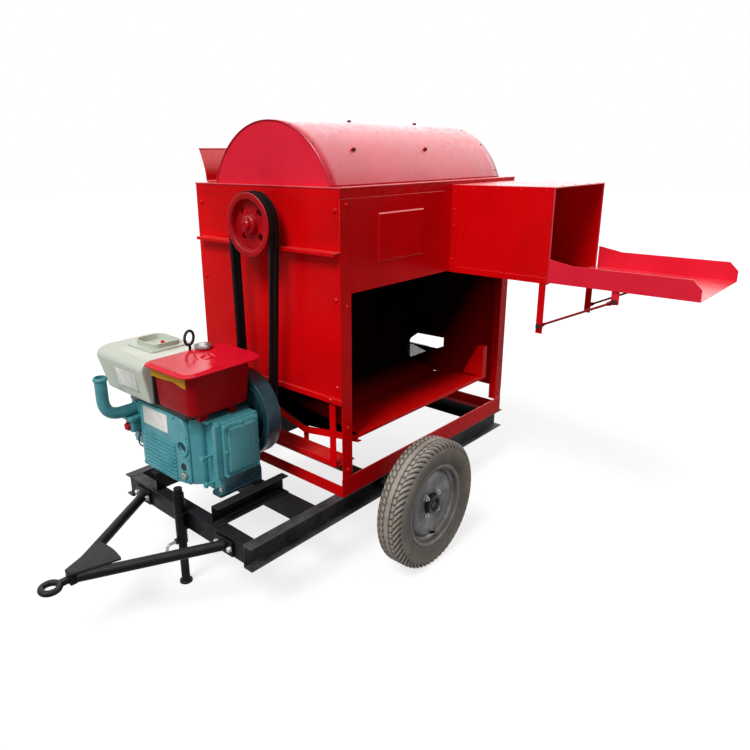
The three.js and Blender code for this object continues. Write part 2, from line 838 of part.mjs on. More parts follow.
function drumCover() {
  const base = rimTop + fit;
  const length = coverRear - coverFront;
  const outer = alongX(coverSlice(coverRadius, base), length).translate(coverFront, 0, 0);
  const inner = alongX(coverSlice(coverRadius - coverSheet, base - overrun), length - 2 * coverSheet)
    .translate(coverFront + coverSheet, 0, 0);
  const halfChord = Math.sqrt(coverRadius ** 2 - (base - coverCentreZ) ** 2);
  const edge = coverCentreY + halfChord - 2 * coverSheet;
  const deck = block([outletEnd, coverRear], [edge, deckReach], [base, base + coverSheet]);
  const outlet = block([outletFront, outletEnd], [edge - coverRadius / 2, edge + overrun],
    [base - overrun, outletTopZ]);
  const lugs = lugPlaces.map((x, index) => coverLug(x, lugTurns[index]));
  const shell = cut(join(outer, deck), inner, outlet);
  return part("drum_cover", red(), join(shell, ...lugs));
}

// The deflector's outline rises from its foot on the rim and leans out in a smooth quarter wave
function strawDeflector() {
  const base = rimTop + fit;
  const lean = (share) => farSide + deflectorFlare * (1 - Math.cos(share * Math.PI / 2)) - sheet;
  const rise = count(deflectorSteps + 1).map((step) => step / deflectorSteps);
  const outside = rise.map((share) => [lean(share) + sheet, base + deflectorRise * share]);
  const inside = rise.slice(1).reverse().map((share) => [lean(share), base + deflectorRise * share]);
  const foot = [[farSide - sheet, base + sheet], [farSide - deflectorFoot, base + sheet],
    [farSide - deflectorFoot, base]];
  const section = outline([...outside, ...inside, ...foot]);
  return part("straw_deflector", red(), alongX(section, outletEnd - outletFront - fit),
    [outletFront, 0, 0]);
}

// Feed box: a square duct with a stiffening band, a joint angle and hinge knuckles
function knuckleSpans(odd) {
  const pitch = (feedRear - feedFront - 2 * postLeg) / knuckles;
  return count(knuckles).filter((index) => index % 2 === odd).map((index) => {
    const start = feedFront + postLeg + index * pitch;
    return [start + knuckleGap, start + pitch - knuckleGap];
  });
}

const trayAxisY = -(feedReach + knuckleGap);

function knuckle([start, end]) {
  return rod([start, trayAxisY, trayAxisHeight], [end, trayAxisY, trayAxisHeight], knuckleRadius);
}

function feedBox() {
  const inner = nearSide - fit;
  const duct = cut(block([feedFront, feedRear], [-feedReach, inner], [feedBottom, feedTop]),
    block([feedFront + sheet, feedRear - sheet], [-feedReach - overrun, inner + overrun],
      [feedBottom + sheet, feedTop - sheet]));
  const band = block([feedFront - bandDepth, feedFront], [-feedReach, inner],
    [feedBottom, feedBottom + bandHeight]);
  const jointAngle = block([feedFront - bandDepth, feedFront], [inner - jointAngleWidth, inner],
    [feedBottom, feedTop]);
  const leaves = knuckleSpans(0).map(([start, end]) => join(knuckle([start, end]),
    block([start, end], [trayAxisY, trayAxisY + 2 * knuckleRadius],
      [feedBottom, trayAxisHeight])));
  return part("feed_box", red(), join(duct, band, jointAngle, ...leaves));
}

// Tray walls stand just outside the feed box, so that the tray folds up over its mouth
const trayFront = feedFront - bandDepth - traySideGap;
const trayRear = feedRear + traySideGap;

function trayWall(inner) {
  const start = trayAxisY - knuckleRadius - fit;
  const top = trayAxisHeight + trayWallHeight;
  const section = outline([[start, trayAxisHeight - sheet], [-trayReach, trayAxisHeight - sheet],
    [-trayReach, top - trayChamfer], [trayChamfer - trayReach, top],
    [start - trayCheekLength, top], [start, top + trayCheekRise]]);
  return alongX(section, sheet).translate(inner, 0, 0);
}

function feedTray() {
  const edge = trayAxisY - knuckleRadius - fit;
  const floor = block([trayFront - sheet, trayRear + sheet], [-trayReach, edge],
    [trayAxisHeight - sheet, trayAxisHeight]);
  const leaves = knuckleSpans(1).map(([start, end]) => join(knuckle([start, end]),
    block([start, end], [edge - knuckleRadius, trayAxisY], [trayAxisHeight - sheet, trayAxisHeight])));
  const brackets = [feedFront, feedRear - strutThickness].map((x) =>
    block([x, x + strutThickness], [-bracketReach - bracketWidth / 2, -bracketReach + bracketWidth / 2],
      [bracketBottom, trayAxisHeight]));
  return part("feed_tray", red(), join(floor, trayWall(trayFront - sheet), trayWall(trayRear),
    ...leaves, ...brackets));
}

function trayStrut(name, x) {
  const bar = block([x, x + strutThickness], [strutY - strutWidth / 2, strutY + strutWidth / 2],
    [strutBottom, feedBottom - fit]);
  const foot = block([x - (x > feedFront ? strutWidth : 0), x + (x > feedFront ? 0 : strutWidth)],
    [strutY - strutWidth / 2, strutY + strutWidth / 2],
    [feedBottom - fit - strutThickness, feedBottom - fit]);
  return part(name, red(), join(bar, foot));
}

// A round brace with flattened eyes, from the foot of a strut to the bracket under the tray
function trayBrace(name, x) {
  const [low, high] = [[x, strutY, pivotHeight], [x, -bracketReach, bracketHoleHeight]];
  const eye = ([, y, z]) => rod([x - braceRadius, y, z], [x + braceRadius, y, z], braceEyeRadius);
  return part(name, darkRed(), join(rod(low, high, braceRadius), eye(low), eye(high)));
}

// Grain pan: a shallow trough whose near edge turns down and whose far wing meets the far panel
function grainPan() {
  const farY = farSide - sheet - fit;
  const skin = outline([[panNearY, panNearZ - panLip], [panNearY + sheet, panNearZ - panLip],
    [panNearY + sheet, panNearZ], [panValleyY, panValleyZ], [farY, panFarZ],
    [farY, panFarZ + sheet], [panValleyY, panValleyZ + sheet], [panNearY, panNearZ + sheet]]);
  const trough = alongX(skin, panRear - panFront).translate(panFront, 0, 0);
  const endPlate = outline([[panNearY, panNearZ], [panNearY, panGussetTop],
    [panNearY + panWallBack, panGussetTop], [panNearY + panGussetReach, panNearZ]]);
  const gusset = alongX(endPlate, panWallBack).translate(panRear - panWallBack, 0, 0);
  return part("grain_pan", red(), join(trough, gusset));
}

function panHanger() {
  const face = panelBack;
  const legs = [-1, 1].map((side) => block([face, face + angleWall],
    [side * hangerY - hangerWidth / 2, side * hangerY + hangerWidth / 2],
    [hangerBottom, hangerTop]));
  const rail = block([face, face + angleWall], [-hangerY, hangerY],
    [hangerBottom, hangerBottom + hangerRailHeight]);
  const shelf = block([face, face + hangerRailDepth], [-hangerY - hangerWidth / 2,
    hangerY + hangerWidth / 2], [hangerBottom, hangerBottom + angleWall]);
  const post = block([face + hangerRailDepth - angleWall, face + hangerRailDepth],
    [panValleyY - hangerPost / 2, panValleyY + hangerPost / 2],
    [hangerBottom, panValleyZ - fit]);
  return part("pan_hanger", red(), join(...legs, rail, shelf, post));
}

// Drum, shaft and concave
function threshingDrum() {
  const spacing = (drumRear - drumFront - drumDiscThickness) / (drumDiscs - 1);
  const discs = count(drumDiscs).map((index) => {
    const start = drumFront + index * spacing;
    return rod([start, 0, 0], [start + drumDiscThickness, 0, 0], drumDiscRadius, mediumTurn);
  });
  const gap = (drumRear - drumFront - 2 * toothInset) / (teethPerBar - 1);
  const bars = count(drumBars).flatMap((index) => {
    const turn = new THREE.Matrix4().makeRotationX(index * fullTurn / drumBars);
    const bar = block([drumFront, drumRear], [-drumBarWidth / 2, drumBarWidth / 2],
      [drumBarRadius - drumBarDepth / 2, drumBarRadius + drumBarDepth / 2]);
    const teeth = count(teethPerBar).map((step) => {
      const x = drumFront + toothInset + gap * step;
      return rod([x, 0, drumBarRadius], [x, 0, toothTip], toothRadius, toothSides);
    });
    return [bar, ...teeth].map((piece) => piece.applyMatrix4(turn));
  });
  const bore = rod([drumFront - overrun, 0, 0], [drumRear + overrun, 0, 0],
    shaftRadius + fit, mediumTurn);
  return part("threshing_drum", castIron(), cut(join(...discs, ...bars), bore), [0, drumY, drumZ]);
}

function drumShaft() {
  const bar = rod([shaftFront, 0, 0], [shaftRear, 0, 0], shaftRadius, mediumTurn);
  const nut = rod([pulleyFront - fit - shaftNutLength, 0, 0], [pulleyFront - fit, 0, 0],
    shaftNutRadius, 6);
  return part("drum_shaft", steel(), join(bar, nut), [0, drumY, drumZ]);
}

function concaveScreen() {
  const [front, rear] = [panelBack, bodyLength - panelBack];
  const start = -90 - concaveSpan / 2;
  const steps = coarseTurn;
  const arc = (radius) => count(steps + 1).map((step) => {
    const turn = (start + concaveSpan * step / steps) * degree;
    return [radius * Math.cos(turn), radius * Math.sin(turn)];
  });
  const rib = outline([...arc(concaveOuter), ...arc(concaveInner).reverse()]);
  const spacing = (rear - front - concaveRibWidth) / (concaveRibs - 1);
  const ribs = count(concaveRibs).map((index) =>
    alongX(rib, concaveRibWidth).translate(front + index * spacing, 0, 0));
  const bars = count(concaveBars).map((index) => {
    const turn = (start + concaveSpan * (index + 1 / 2) / concaveBars) * degree;
    return block([front, rear], [concaveInner, concaveInner + concaveBarSize],
      [-concaveBarSize / 2, concaveBarSize / 2])
      .applyMatrix4(new THREE.Matrix4().makeRotationX(turn));
  });
  return part("concave_screen", castIron(), join(...ribs, ...bars), [0, drumY, drumZ]);
}

function drumBearing(name, face, side) {
  const flangeEnd = side * bearingFlangeThickness;
  const flange = block([flangeEnd, 0].sort((a, b) => a - b),
    [-bearingFlangeHalf, bearingFlangeHalf], [-bearingFlangeHalf, bearingFlangeHalf]);
  const boss = rod([0, 0, 0], [side * bearingLength, 0, 0], bearingBossRadius, mediumTurn);
  const bore = rod([-overrun, 0, 0], [overrun, 0, 0], runningBore(shaftRadius, mediumTurn), mediumTurn);
  return part(name, castIron(), cut(join(flange, boss), bore), [face, drumY, drumZ]);
}

// Pulleys and belts. Groove places are counted from the middle of the pulley's width.
const grooves = [-beltPitch / 2, beltPitch / 2];

function pulleyProfile(radius, bore) {
  const back = pulleyWidth / 2;
  const root = radius + beltProud - beltThickness - grooveClearance;
  const rimEdge = radius - pulleyRimThickness;
  const web = pulleyWebThickness / 2;
  const lip = beltWidth / 2 + fit;
  const floor = beltBottomWidth / 2 + fit;
  const grooved = grooves.flatMap((middle) => [[radius, middle - lip], [root, middle - floor],
    [root, middle + floor], [radius, middle + lip]]);
  return [[bore, -back], [pulleyHubRadius, -back], [pulleyHubRadius, -web], [rimEdge, -web],
    [rimEdge, -back], [radius, -back], ...grooved, [radius, back], [rimEdge, back],
    [rimEdge, web], [pulleyHubRadius, web], [pulleyHubRadius, back], [bore, back]];
}

function pulleySolid(radius, bore) {
  const middle = (pulleyHubRadius + radius - pulleyRimThickness) / 2;
  const holes = count(webHoles).map((index) => {
    const turn = (index + 1 / 2) * fullTurn / webHoles;
    const [y, z] = [middle * Math.cos(turn), middle * Math.sin(turn)];
    return rod([-overrun, y, z], [overrun, y, z],
      Math.min(webHoleRadius, (middle - pulleyHubRadius) * 2 / 3));
  });
  return cut(turnedX(pulleyProfile(radius, bore)), ...holes);
}

const pulleyX = pulleyFront + pulleyWidth / 2;

const drumPulley = () => part("drum_pulley", red(), pulleySolid(pulleyRadius, shaftRadius + fit),
  [pulleyX, drumY, drumZ]);

function enginePulley() {
  const boss = rod([0, 0, 0], [flywheelBack + fit - pulleyX, 0, 0], shaftRadius + 2 * fit, mediumTurn);
  return part("engine_pulley", castIron(), join(pulleySolid(enginePulleyRadius, shaftRadius), boss),
    [pulleyX, crankY, crankZ]);
}

// A belt is a wedge section carried round both pulleys: an arc on each, straight in between
function belt(name, offset) {
  const span = new THREE.Vector2(crankY - drumY, crankZ - drumZ);
  const heading = span.angle();
  const lean = Math.acos((beltRadius - engineBeltRadius) / span.length());
  const arc = (centre, radius, from, to) => count(beltSteps + 1).map((step) => {
    const turn = from + (to - from) * step / beltSteps;
    return { centre, radius, turn };
  });
  const stations = [
    ...arc([drumY, drumZ], beltRadius, heading + lean, heading + fullTurn - lean),
    ...arc([crankY, crankZ], engineBeltRadius, heading - lean, heading + lean)];
  const corners = stations.flatMap(({ centre, radius, turn }) => {
    const at = (r, x) => [x, centre[0] + r * Math.cos(turn), centre[1] + r * Math.sin(turn)];
    const root = radius - beltThickness;
    return [at(radius, -beltWidth / 2), at(radius, beltWidth / 2),
      at(root, beltBottomWidth / 2), at(root, -beltBottomWidth / 2)];
  });
  const triangles = stations.flatMap((_, index) => count(4).flatMap((corner) => {
    const next = (index + 1) % stations.length;
    const [a, b] = [4 * index + corner, 4 * index + (corner + 1) % 4];
    const [c, d] = [4 * next + corner, 4 * next + (corner + 1) % 4];
    return [a, b, d, a, d, c];
  }));
  const geometry = new THREE.BufferGeometry();
  geometry.setAttribute("position", new THREE.Float32BufferAttribute(corners.flat(), 3));
  geometry.setIndex(triangles);
  return part(name, beltBlack(), geometry, [pulleyX + offset, 0, 0]);
}

// Engine
function crankcase() {
  const bottom = engineFoot + fit;
  const behindGear = gearBack + fit;
  const plan = outline([[sideFlangeFront, crankcaseNear], [crankcaseBack, crankcaseNear],
    [crankcaseBack, crankcaseFar], [behindGear, crankcaseFar], [behindGear, gearNear - fit],
    [crankcaseFront, gearNear - fit], [noseBack, noseNear], [nosePocketBack, noseNear],
    [nosePocketBack, crankcaseNear + sideFlangeThickness],
    [sideFlangeFront, crankcaseNear + sideFlangeThickness]]);
  const casing = alongZ(plan, crankcaseTop - bottom).translate(0, 0, bottom);
  const underFlange = block([sideFlangeFront - overrun, nosePocketBack],
    [crankcaseNear - overrun, crankcaseNear + sideFlangeThickness + overrun],
    [bottom - overrun, sideFlangeLow]);
  const underNose = block([crankcaseFront - overrun, nosePocketBack],
    [noseNear - overrun, gearNear + overrun], [bottom - overrun, noseLow]);
  const foot = block([footFront, crankcaseBack], [footNear, footNear + footWidth],
    [bottom, bottom + footHeight]);
  const eyeStem = rod([eyeBoltX, eyeBoltY, crankcaseTop - overrun],
    [eyeBoltX, eyeBoltY, eyeBoltTop - 2 * eyeBoltRing + eyeBoltRadius], eyeBoltRadius, 8);
  const eyeRing = new THREE.TorusGeometry(eyeBoltRing - eyeBoltRadius, eyeBoltRadius, 8, coarseTurn)
    .rotateX(Math.PI / 2).rotateZ(THREE.MathUtils.degToRad(eyeBoltTurn))
    .translate(eyeBoltX, eyeBoltY, eyeBoltTop - eyeBoltRing);
  const trimmed = cut(casing, underFlange, underNose);
  return part("crankcase", teal(), join(trimmed, foot, eyeStem, eyeRing));
}

function gearCover() {
  const bottom = engineFoot + fit;
  const corners = [[gearNear, bottom + gearToeRise], [gearNear + gearToeRun, bottom],
    [crankcaseFar, bottom], [crankcaseFar, crankcaseTop],
    [gearNear + gearCorner, crankcaseTop], [gearNear, crankcaseTop - gearCorner]];
  const body = alongX(outline(corners), gearBack - gearFront).translate(gearFront, 0, 0);
  const ribs = count(gearRibs).map((index) => {
    const low = gearRibLow + index * gearRibPitch;
    return block([gearFront - gearRibDepth, gearFront],
      [startRecessY + 2 * startRecessRadius, crankcaseFar - gearCorner / 2],
      [low, low + gearRibHeight]);
  });
  const recess = rod([gearFront - overrun, startRecessY, startRecessZ],
    [gearFront + startRecessDepth, startRecessY, startRecessZ], startRecessRadius, mediumTurn);
  const filler = rod([gearFront - fillerLength, fillerY, fillerZ],
    [gearFront, fillerY, fillerZ], fillerRadius);
  return part("gear_cover", teal(), cut(join(body, ...ribs, filler), recess));
}

function crankcaseSideCover() {
  const face = crankcaseNear - fit;
  const cover = block([sideCoverFront, sideCoverBack], [face - sideCoverThickness, face],
    [sideCoverLow, sideCoverHigh]);
  const inset = sideCoverThickness;
  const raised = block([sideCoverFront + inset, sideCoverBack - inset],
    [face - sideCoverThickness - sideCoverRib, face],
    [sideCoverLow + inset, sideCoverHigh - inset]);
  return part("crankcase_side_cover", teal(), join(cover, raised));
}

function cylinderHead() {
  const start = crankcaseFar + fit;
  const head = block([headFront, headBack], [start, headReach - headCoverDepth], [headLow, headHigh]);
  const cover = block([headFront + headCoverInset, headBack - headCoverInset],
    [start, headReach], [headLow + headCoverInset, headHigh - headCoverInset]);
  return part("cylinder_head", teal(), join(head, cover));
}

// The exhaust runs out from the head, turns up in a round bend and ends in a collar
function exhaustElbow() {
  const start = headFront - fit;
  const bend = 3 * exhaustRadius;
  const path = new THREE.CurvePath();
  const corner = new THREE.Vector3(exhaustX, exhaustY, exhaustZ);
  const turnIn = new THREE.Vector3(exhaustX + bend, exhaustY, exhaustZ);
  const turnOut = new THREE.Vector3(exhaustX, exhaustY, exhaustZ + bend);
  path.add(new THREE.LineCurve3(new THREE.Vector3(start, exhaustY, exhaustZ), turnIn));
  path.add(new THREE.QuadraticBezierCurve3(turnIn, corner, turnOut));
  path.add(new THREE.LineCurve3(turnOut, new THREE.Vector3(exhaustX, exhaustY, exhaustTop)));
  const section = new THREE.Shape().absarc(0, 0, exhaustRadius, 0, fullTurn);
  section.holes.push(new THREE.Path().absarc(0, 0, exhaustRadius - exhaustWall, 0, fullTurn));
  const pipe = new THREE.ExtrudeGeometry(section,
    { steps: pipeSteps, curveSegments: coarseTurn / 2, extrudePath: path });
  const flange = cut(block([start - exhaustFlangeThickness, start],
    [exhaustY - exhaustFlangeHalf, exhaustY + exhaustFlangeHalf],
    [exhaustZ - exhaustFlangeHalf, exhaustZ + headHigh - exhaustZ - fit]),
  rod([start - overrun, exhaustY, exhaustZ], [start + overrun, exhaustY, exhaustZ],
    exhaustRadius - exhaustWall / 2));
  const collar = turnedZ([[exhaustRadius - exhaustWall / 2, 0],
    [exhaustRadius + exhaustCollarProud, 0],
    [exhaustRadius + exhaustCollarProud, exhaustCollarHeight],
    [exhaustRadius - exhaustWall / 2, exhaustCollarHeight]])
    .translate(exhaustX, exhaustY, exhaustTop - exhaustCollarHeight);
  return part("exhaust_elbow", teal(), join(pipe, flange, collar));
}

function waterHopper() {
  const xs = (inset) => [hopperFront + inset, hopperBack - inset];
  const ys = (inset) => [hopperNear, hopperFar - inset];
  const neckX = [hopperFront + hopperNeckInset, hopperBack - hopperNeckInset];
  const neck = plate(neckX, [hopperNear + hopperTaper, hopperNeckFar], hopperTaper,
    [crankcaseTop + fit, hopperBottom + hopperTaper]);
  const shoulder = count(cornerSteps + 1).map((step) => {
    const turn = step / cornerSteps * Math.PI / 2;
    const inset = hopperShoulder * (1 - Math.cos(turn));
    return roundedRing(xs(inset), ys(inset), hopperCorner,
      hopperTop - hopperShoulder * (1 - Math.sin(turn)));
  });
  const bowl = loft([
    roundedRing(xs(hopperTaper), ys(hopperTaper), hopperCorner, hopperBottom), ...shoulder]);
  const pocket = plate([funnelPlateX - funnelHalfX + funnelWall, funnelPlateX + funnelHalfX - funnelWall],
    [funnelPlateY - funnelHalfY + funnelWall, funnelPlateY + funnelHalfY - funnelWall], funnelCorner,
    [hopperTop - hopperPocketDepth, hopperTop + overrun]);
  return part("water_hopper", palegreen(), cut(join(neck, bowl), pocket));
}

function hopperFunnel() {
  const low = hopperTop + fit;
  const around = (halfX, halfY) => [[funnelPlateX - halfX, funnelPlateX + halfX],
    [funnelPlateY - halfY, funnelPlateY + halfY]];
  const base = plate(...around(funnelPlateHalfX, funnelPlateHalfY), funnelCorner / 2,
    [low, low + funnelPlateThickness]);
  const collar = plate(...around(funnelHalfX, funnelHalfY), funnelCorner, [low, low + funnelHeight]);
  const mouth = plate(...around(funnelHalfX - funnelWall, funnelHalfY - funnelWall),
    funnelCorner - funnelWall, [low - overrun, low + funnelHeight + overrun]);
  return part("hopper_funnel", palegreen(), cut(join(base, collar), mouth));
}

function fuelTank() {
  const tank = loft([
    roundedRing([tankFront + 2 * tankTaper, tankBack - tankTaper],
      [tankNear + 2 * tankTaper, tankFar - tankTaper], tankCorner, tankBottom),
    roundedRing([tankFront + tankTaper, tankBack], [tankNear + tankTaper, tankFar - tankTaper / 2],
      tankCorner, tankBottom + tankTaper),
    roundedRing([tankFront, tankBack], [tankNear, tankFar], tankCorner, tankTop)]);
  const saddles = [tankFront + tankSaddleWidth * 2, tankBack - tankSaddleWidth * 2].map((x) =>
    block([x - tankSaddleWidth / 2, x + tankSaddleWidth / 2],
      [tankNear + tankSaddleWidth, tankFar - tankSaddleWidth],
      [crankcaseTop + fit, tankBottom + tankTaper]));
  return part("fuel_tank", darkRed(), join(tank, ...saddles));
}

function fuelTankLid() {
  const low = tankTop + fit;
  const rimPlate = plate([lidFront, lidBack], [lidNear, tankFar], lidCorner,
    [low, low + lidThickness / 2]);
  const dome = loft([
    roundedRing([lidFront + lidThickness, lidBack - lidThickness],
      [lidNear + lidThickness, tankFar - lidThickness], lidCorner, low),
    roundedRing([lidFront + 2 * lidThickness, lidBack - 2 * lidThickness],
      [lidNear + 2 * lidThickness, tankFar], lidCorner, low + lidThickness)]);
  const neck = rod([capX, capY, low], [capX, capY, low + lidThickness + capNeckHeight],
    capNeckRadius, mediumTurn);
  return part("fuel_tank_lid", darkRed(), join(rimPlate, dome, neck));
}

function fuelCap() {
  const low = tankTop + 2 * fit + lidThickness + capNeckHeight;
  const skirt = runningBore(capNeckRadius, mediumTurn);
  const profile = [[0, 0], [skirt, 0], [skirt, -capNeckHeight / 2], [capRadius, -capNeckHeight / 2],
    [capRadius, capHeight * 2 / 3], [capRadius - capHeight / 3, capHeight], [0, capHeight]];
  return part("fuel_cap", steel(), turnedZ(profile), [capX, capY, low]);
}

function flywheel() {
  const edge = flywheelRadius - flywheelRim;
  const [front, back] = [flywheelFront, flywheelBack];
  const profile = [[0, crankcaseBack + fit], [shaftRadius, crankcaseBack + fit], [shaftRadius, front],
    [flywheelHubRadius, front], [flywheelHubRadius, front + flywheelDish],
    [edge, front + flywheelDish], [edge, front], [flywheelRadius, front],
    [flywheelRadius, back], [edge, back], [edge, back - flywheelDish],
    [flywheelHubRadius, back - flywheelDish], [flywheelHubRadius, back], [0, back]];
  return part("flywheel", teal(), turnedX(profile), [0, crankY, crankZ]);
}

// The whole machine
const machine = assembly([0, 0, 0],
  sideRail("near_side_rail", -1),
  sideRail("far_side_rail", 1),
  crossBeam("front_cross_beam", beamFront, 1),
  crossBeam("middle_cross_beam", middleBeamFront, 1),
  crossBeam("rear_cross_beam", bodyLength - rearBeamInset + beamFlange, -1),
  engineRail("near_engine_rail", -1),
  engineRail("far_engine_rail", 1),
  drawbarLeg("near_drawbar_leg", -1),
  drawbarLeg("far_drawbar_leg", 1),
  hitchEye(),
  propSleeve(),
  propLeg(),
  propClampScrew(),
  axle(),
  wheel(-1, "near"),
  wheel(1, "far"),
  baseFrame(),
  cornerPost("near_front_post", 1, -1),
  cornerPost("far_front_post", 1, 1),
  cornerPost("near_rear_post", -1, -1),
  cornerPost("far_rear_post", -1, 1),
  topRim(),
  frontPanel(),
  rearPanel(),
  farPanel(),
  nearPanel(),
  drumCover(),
  strawDeflector(),
  feedBox(),
  feedTray(),
  trayStrut("near_tray_strut", feedFront),
  trayStrut("far_tray_strut", feedRear - strutThickness),
  trayBrace("near_tray_brace", feedFront - fit - braceRadius),
  trayBrace("far_tray_brace", feedRear + fit + braceRadius),
  grainPan(),
  panHanger(),
  threshingDrum(),
  drumShaft(),
  concaveScreen(),
  drumBearing("front_drum_bearing", -fit, -1),
  drumBearing("rear_drum_bearing", bodyLength + fit, 1),
  drumPulley(),
  enginePulley(),
  belt("front_belt", grooves[0]),
  belt("rear_belt", grooves[1]),
  crankcase(),
  gearCover(),
  crankcaseSideCover(),
  cylinderHead(),
  exhaustElbow(),
  waterHopper(),
  hopperFunnel(),
  fuelTank(),
  fuelTankLid(),
  fuelCap(),
  flywheel());

// The origin is the middle of the machine's length and width, on the ground
const frontEnd = eyeX - eyeRingRadius - eyeBarRadius;
const farEnd = wheelReach + tyreHalfWidth;
machine.position.set(-(frontEnd + shaftRear) / 2, (trayReach - farEnd) / 2, 0);

export default assembly([0, 0, 0], machine);
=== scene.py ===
"""A trailer-mounted threshing machine with its engine: the finished surfaces round the frame.

Lengths are in millimetres, counted from the front face of the threshing body (X), the middle of
the chassis (Y) and the ground (Z). They become metres when a mesh is made.
"""
import json
import bmesh
import bpy
import numpy as np
from mathutils import Matrix, Vector

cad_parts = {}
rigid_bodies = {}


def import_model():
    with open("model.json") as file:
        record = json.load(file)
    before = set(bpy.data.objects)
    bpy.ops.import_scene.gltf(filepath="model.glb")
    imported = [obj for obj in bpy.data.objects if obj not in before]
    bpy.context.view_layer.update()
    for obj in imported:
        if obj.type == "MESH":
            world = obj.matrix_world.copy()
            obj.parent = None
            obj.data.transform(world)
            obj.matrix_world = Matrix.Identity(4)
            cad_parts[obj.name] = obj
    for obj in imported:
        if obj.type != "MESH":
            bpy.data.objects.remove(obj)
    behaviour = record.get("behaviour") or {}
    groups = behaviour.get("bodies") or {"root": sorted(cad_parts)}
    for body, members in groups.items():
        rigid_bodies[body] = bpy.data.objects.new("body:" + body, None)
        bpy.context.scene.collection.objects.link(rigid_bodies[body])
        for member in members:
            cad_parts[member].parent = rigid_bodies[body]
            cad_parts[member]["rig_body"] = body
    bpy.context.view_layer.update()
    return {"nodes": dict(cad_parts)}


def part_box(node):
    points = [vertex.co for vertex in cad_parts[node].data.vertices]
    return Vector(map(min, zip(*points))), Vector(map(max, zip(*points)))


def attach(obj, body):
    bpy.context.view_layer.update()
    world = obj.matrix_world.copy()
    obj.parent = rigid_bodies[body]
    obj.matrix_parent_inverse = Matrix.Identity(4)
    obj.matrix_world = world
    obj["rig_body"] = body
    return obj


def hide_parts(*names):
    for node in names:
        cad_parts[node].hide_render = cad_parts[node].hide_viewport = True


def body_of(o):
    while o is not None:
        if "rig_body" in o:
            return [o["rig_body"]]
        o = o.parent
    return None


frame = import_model()

MM = 0.001
MERGE = 0.02 * MM  # corners closer than this are one
FULL_TURN = 2 * np.pi
body_low, body_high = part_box("base_frame")
ORIGIN = np.array([body_low.x, (body_low.y + body_high.y) / 2, 0])


def reach(node):
    """The lowest and highest corners of a node, in millimetres."""
    return [(np.array(corner) - ORIGIN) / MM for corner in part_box(node)]


def middle_of(node):
    """The middle of a node's box."""
    low, high = reach(node)
    return (low + high) / 2


def about(middle, half):
    """The span that lies evenly to both sides of a middle."""
    return middle - half, middle + half


def shrunk(span, inset):
    """A span drawn in at both ends."""
    return span[0] + inset, span[1] - inset


def even_turns(count):
    """Angles at even steps round a full turn."""
    return np.arange(count) * FULL_TURN / count


def polar(radius, turn):
    """Flat points from their distance and angle: radius times cosine, radius times sine."""
    return np.stack([radius * np.cos(turn), radius * np.sin(turn)], -1)


# Shapes are pairs of points and faces, the faces kept in arrays of as many corners

def grid(points, round_u=False, round_v=False, capped=False):
    """Points on a grid of two parameters; each four neighbours make a face."""
    points = np.asarray(points, float)
    rows, columns = points.shape[:2]
    number = np.arange(rows * columns).reshape(rows, columns)
    faces = []
    if capped:
        faces = [number[:1], number[-1:, ::-1]]
    if round_u:
        number = np.vstack([number, number[:1]])
    if round_v:
        number = np.hstack([number, number[:, :1]])
    squares = np.stack([number[:-1, :-1], number[1:, :-1], number[1:, 1:], number[:-1, 1:]], -1)
    return points.reshape(-1, 3), [squares.reshape(-1, 4), *faces]


def combine(*shapes):
    """Several shapes as one, with the face numbers counted on."""
    starts = np.cumsum([0] + [len(points) for points, _ in shapes])
    points = np.vstack([points for points, _ in shapes])
    return points, [array + start for start, (_, faces) in zip(starts, shapes) for array in faces]


def moved(shape, offset):
    """A shape carried along by an offset."""
    return shape[0] + np.asarray(offset, float), shape[1]


def turned(shape, axis, degrees, centre=(0, 0, 0)):
    """A shape turned about a line through the centre."""
    matrix = np.array(Matrix.Rotation(np.radians(degrees), 3, axis))
    return (shape[0] - centre) @ matrix.T + centre, shape[1]


def placed(flat, along, axis):
    """Flat points given their third coordinate, where the axis names the one that runs along."""
    first, second = flat[..., 0], flat[..., 1]
    order = {"x": (along, first, second), "y": (first, along, second), "z": (first, second, along)}
    return np.stack(np.broadcast_arrays(*order[axis]), -1)


def eased(corners, radius, closed=True, steps=5):
    """A polygon with rounded corners: each is (1-t)^2 of a point on the way in, 2t(1-t) of the
    corner and t^2 of a point on the way out."""
    corners = np.asarray(corners, float)
    before = np.roll(corners, 1, 0) - corners
    after = np.roll(corners, -1, 0) - corners
    lengths = [np.linalg.norm(side, axis=1)[:, None] for side in (before, after)]
    cut = np.broadcast_to(np.reshape(radius, (-1, 1)), (len(corners), 1)).astype(float)
    cut = np.minimum(cut, np.minimum(*lengths) * 0.49)
    start = corners + before / lengths[0] * cut
    end = corners + after / lengths[1] * cut
    t = np.linspace(0, 1, steps)[None, :, None]
    curve = ((1 - t) ** 2 * start[:, None] + 2 * t * (1 - t) * corners[:, None]
             + t ** 2 * end[:, None])
    if closed:
        return curve.reshape(-1, corners.shape[1])
    inner = curve[1:-1].reshape(-1, corners.shape[1])
    return np.vstack([corners[:1], inner, corners[-1:]])


def circle(radius, sides=24):
    """Points at even turns round a circle."""
    return polar(radius, even_turns(sides))


def ring(xs, ys, corner, steps=8):
    """The outline of a rectangle with quarter circles at its corners, of one size or of four."""
    corner = np.broadcast_to(corner, (4,)).astype(float)
    quarter = np.arange(4)[:, None] * np.pi / 2 + np.linspace(0, np.pi / 2, steps)
    middle_x = np.array([xs[1], xs[0], xs[0], xs[1]]) + corner * (-1, 1, 1, -1)
    middle_y = np.array([ys[1], ys[1], ys[0], ys[0]]) + corner * (-1, -1, 1, 1)
    return np.stack([middle_x[:, None] + corner[:, None] * np.cos(quarter),
                     middle_y[:, None] + corner[:, None] * np.sin(quarter)], -1).reshape(-1, 2)


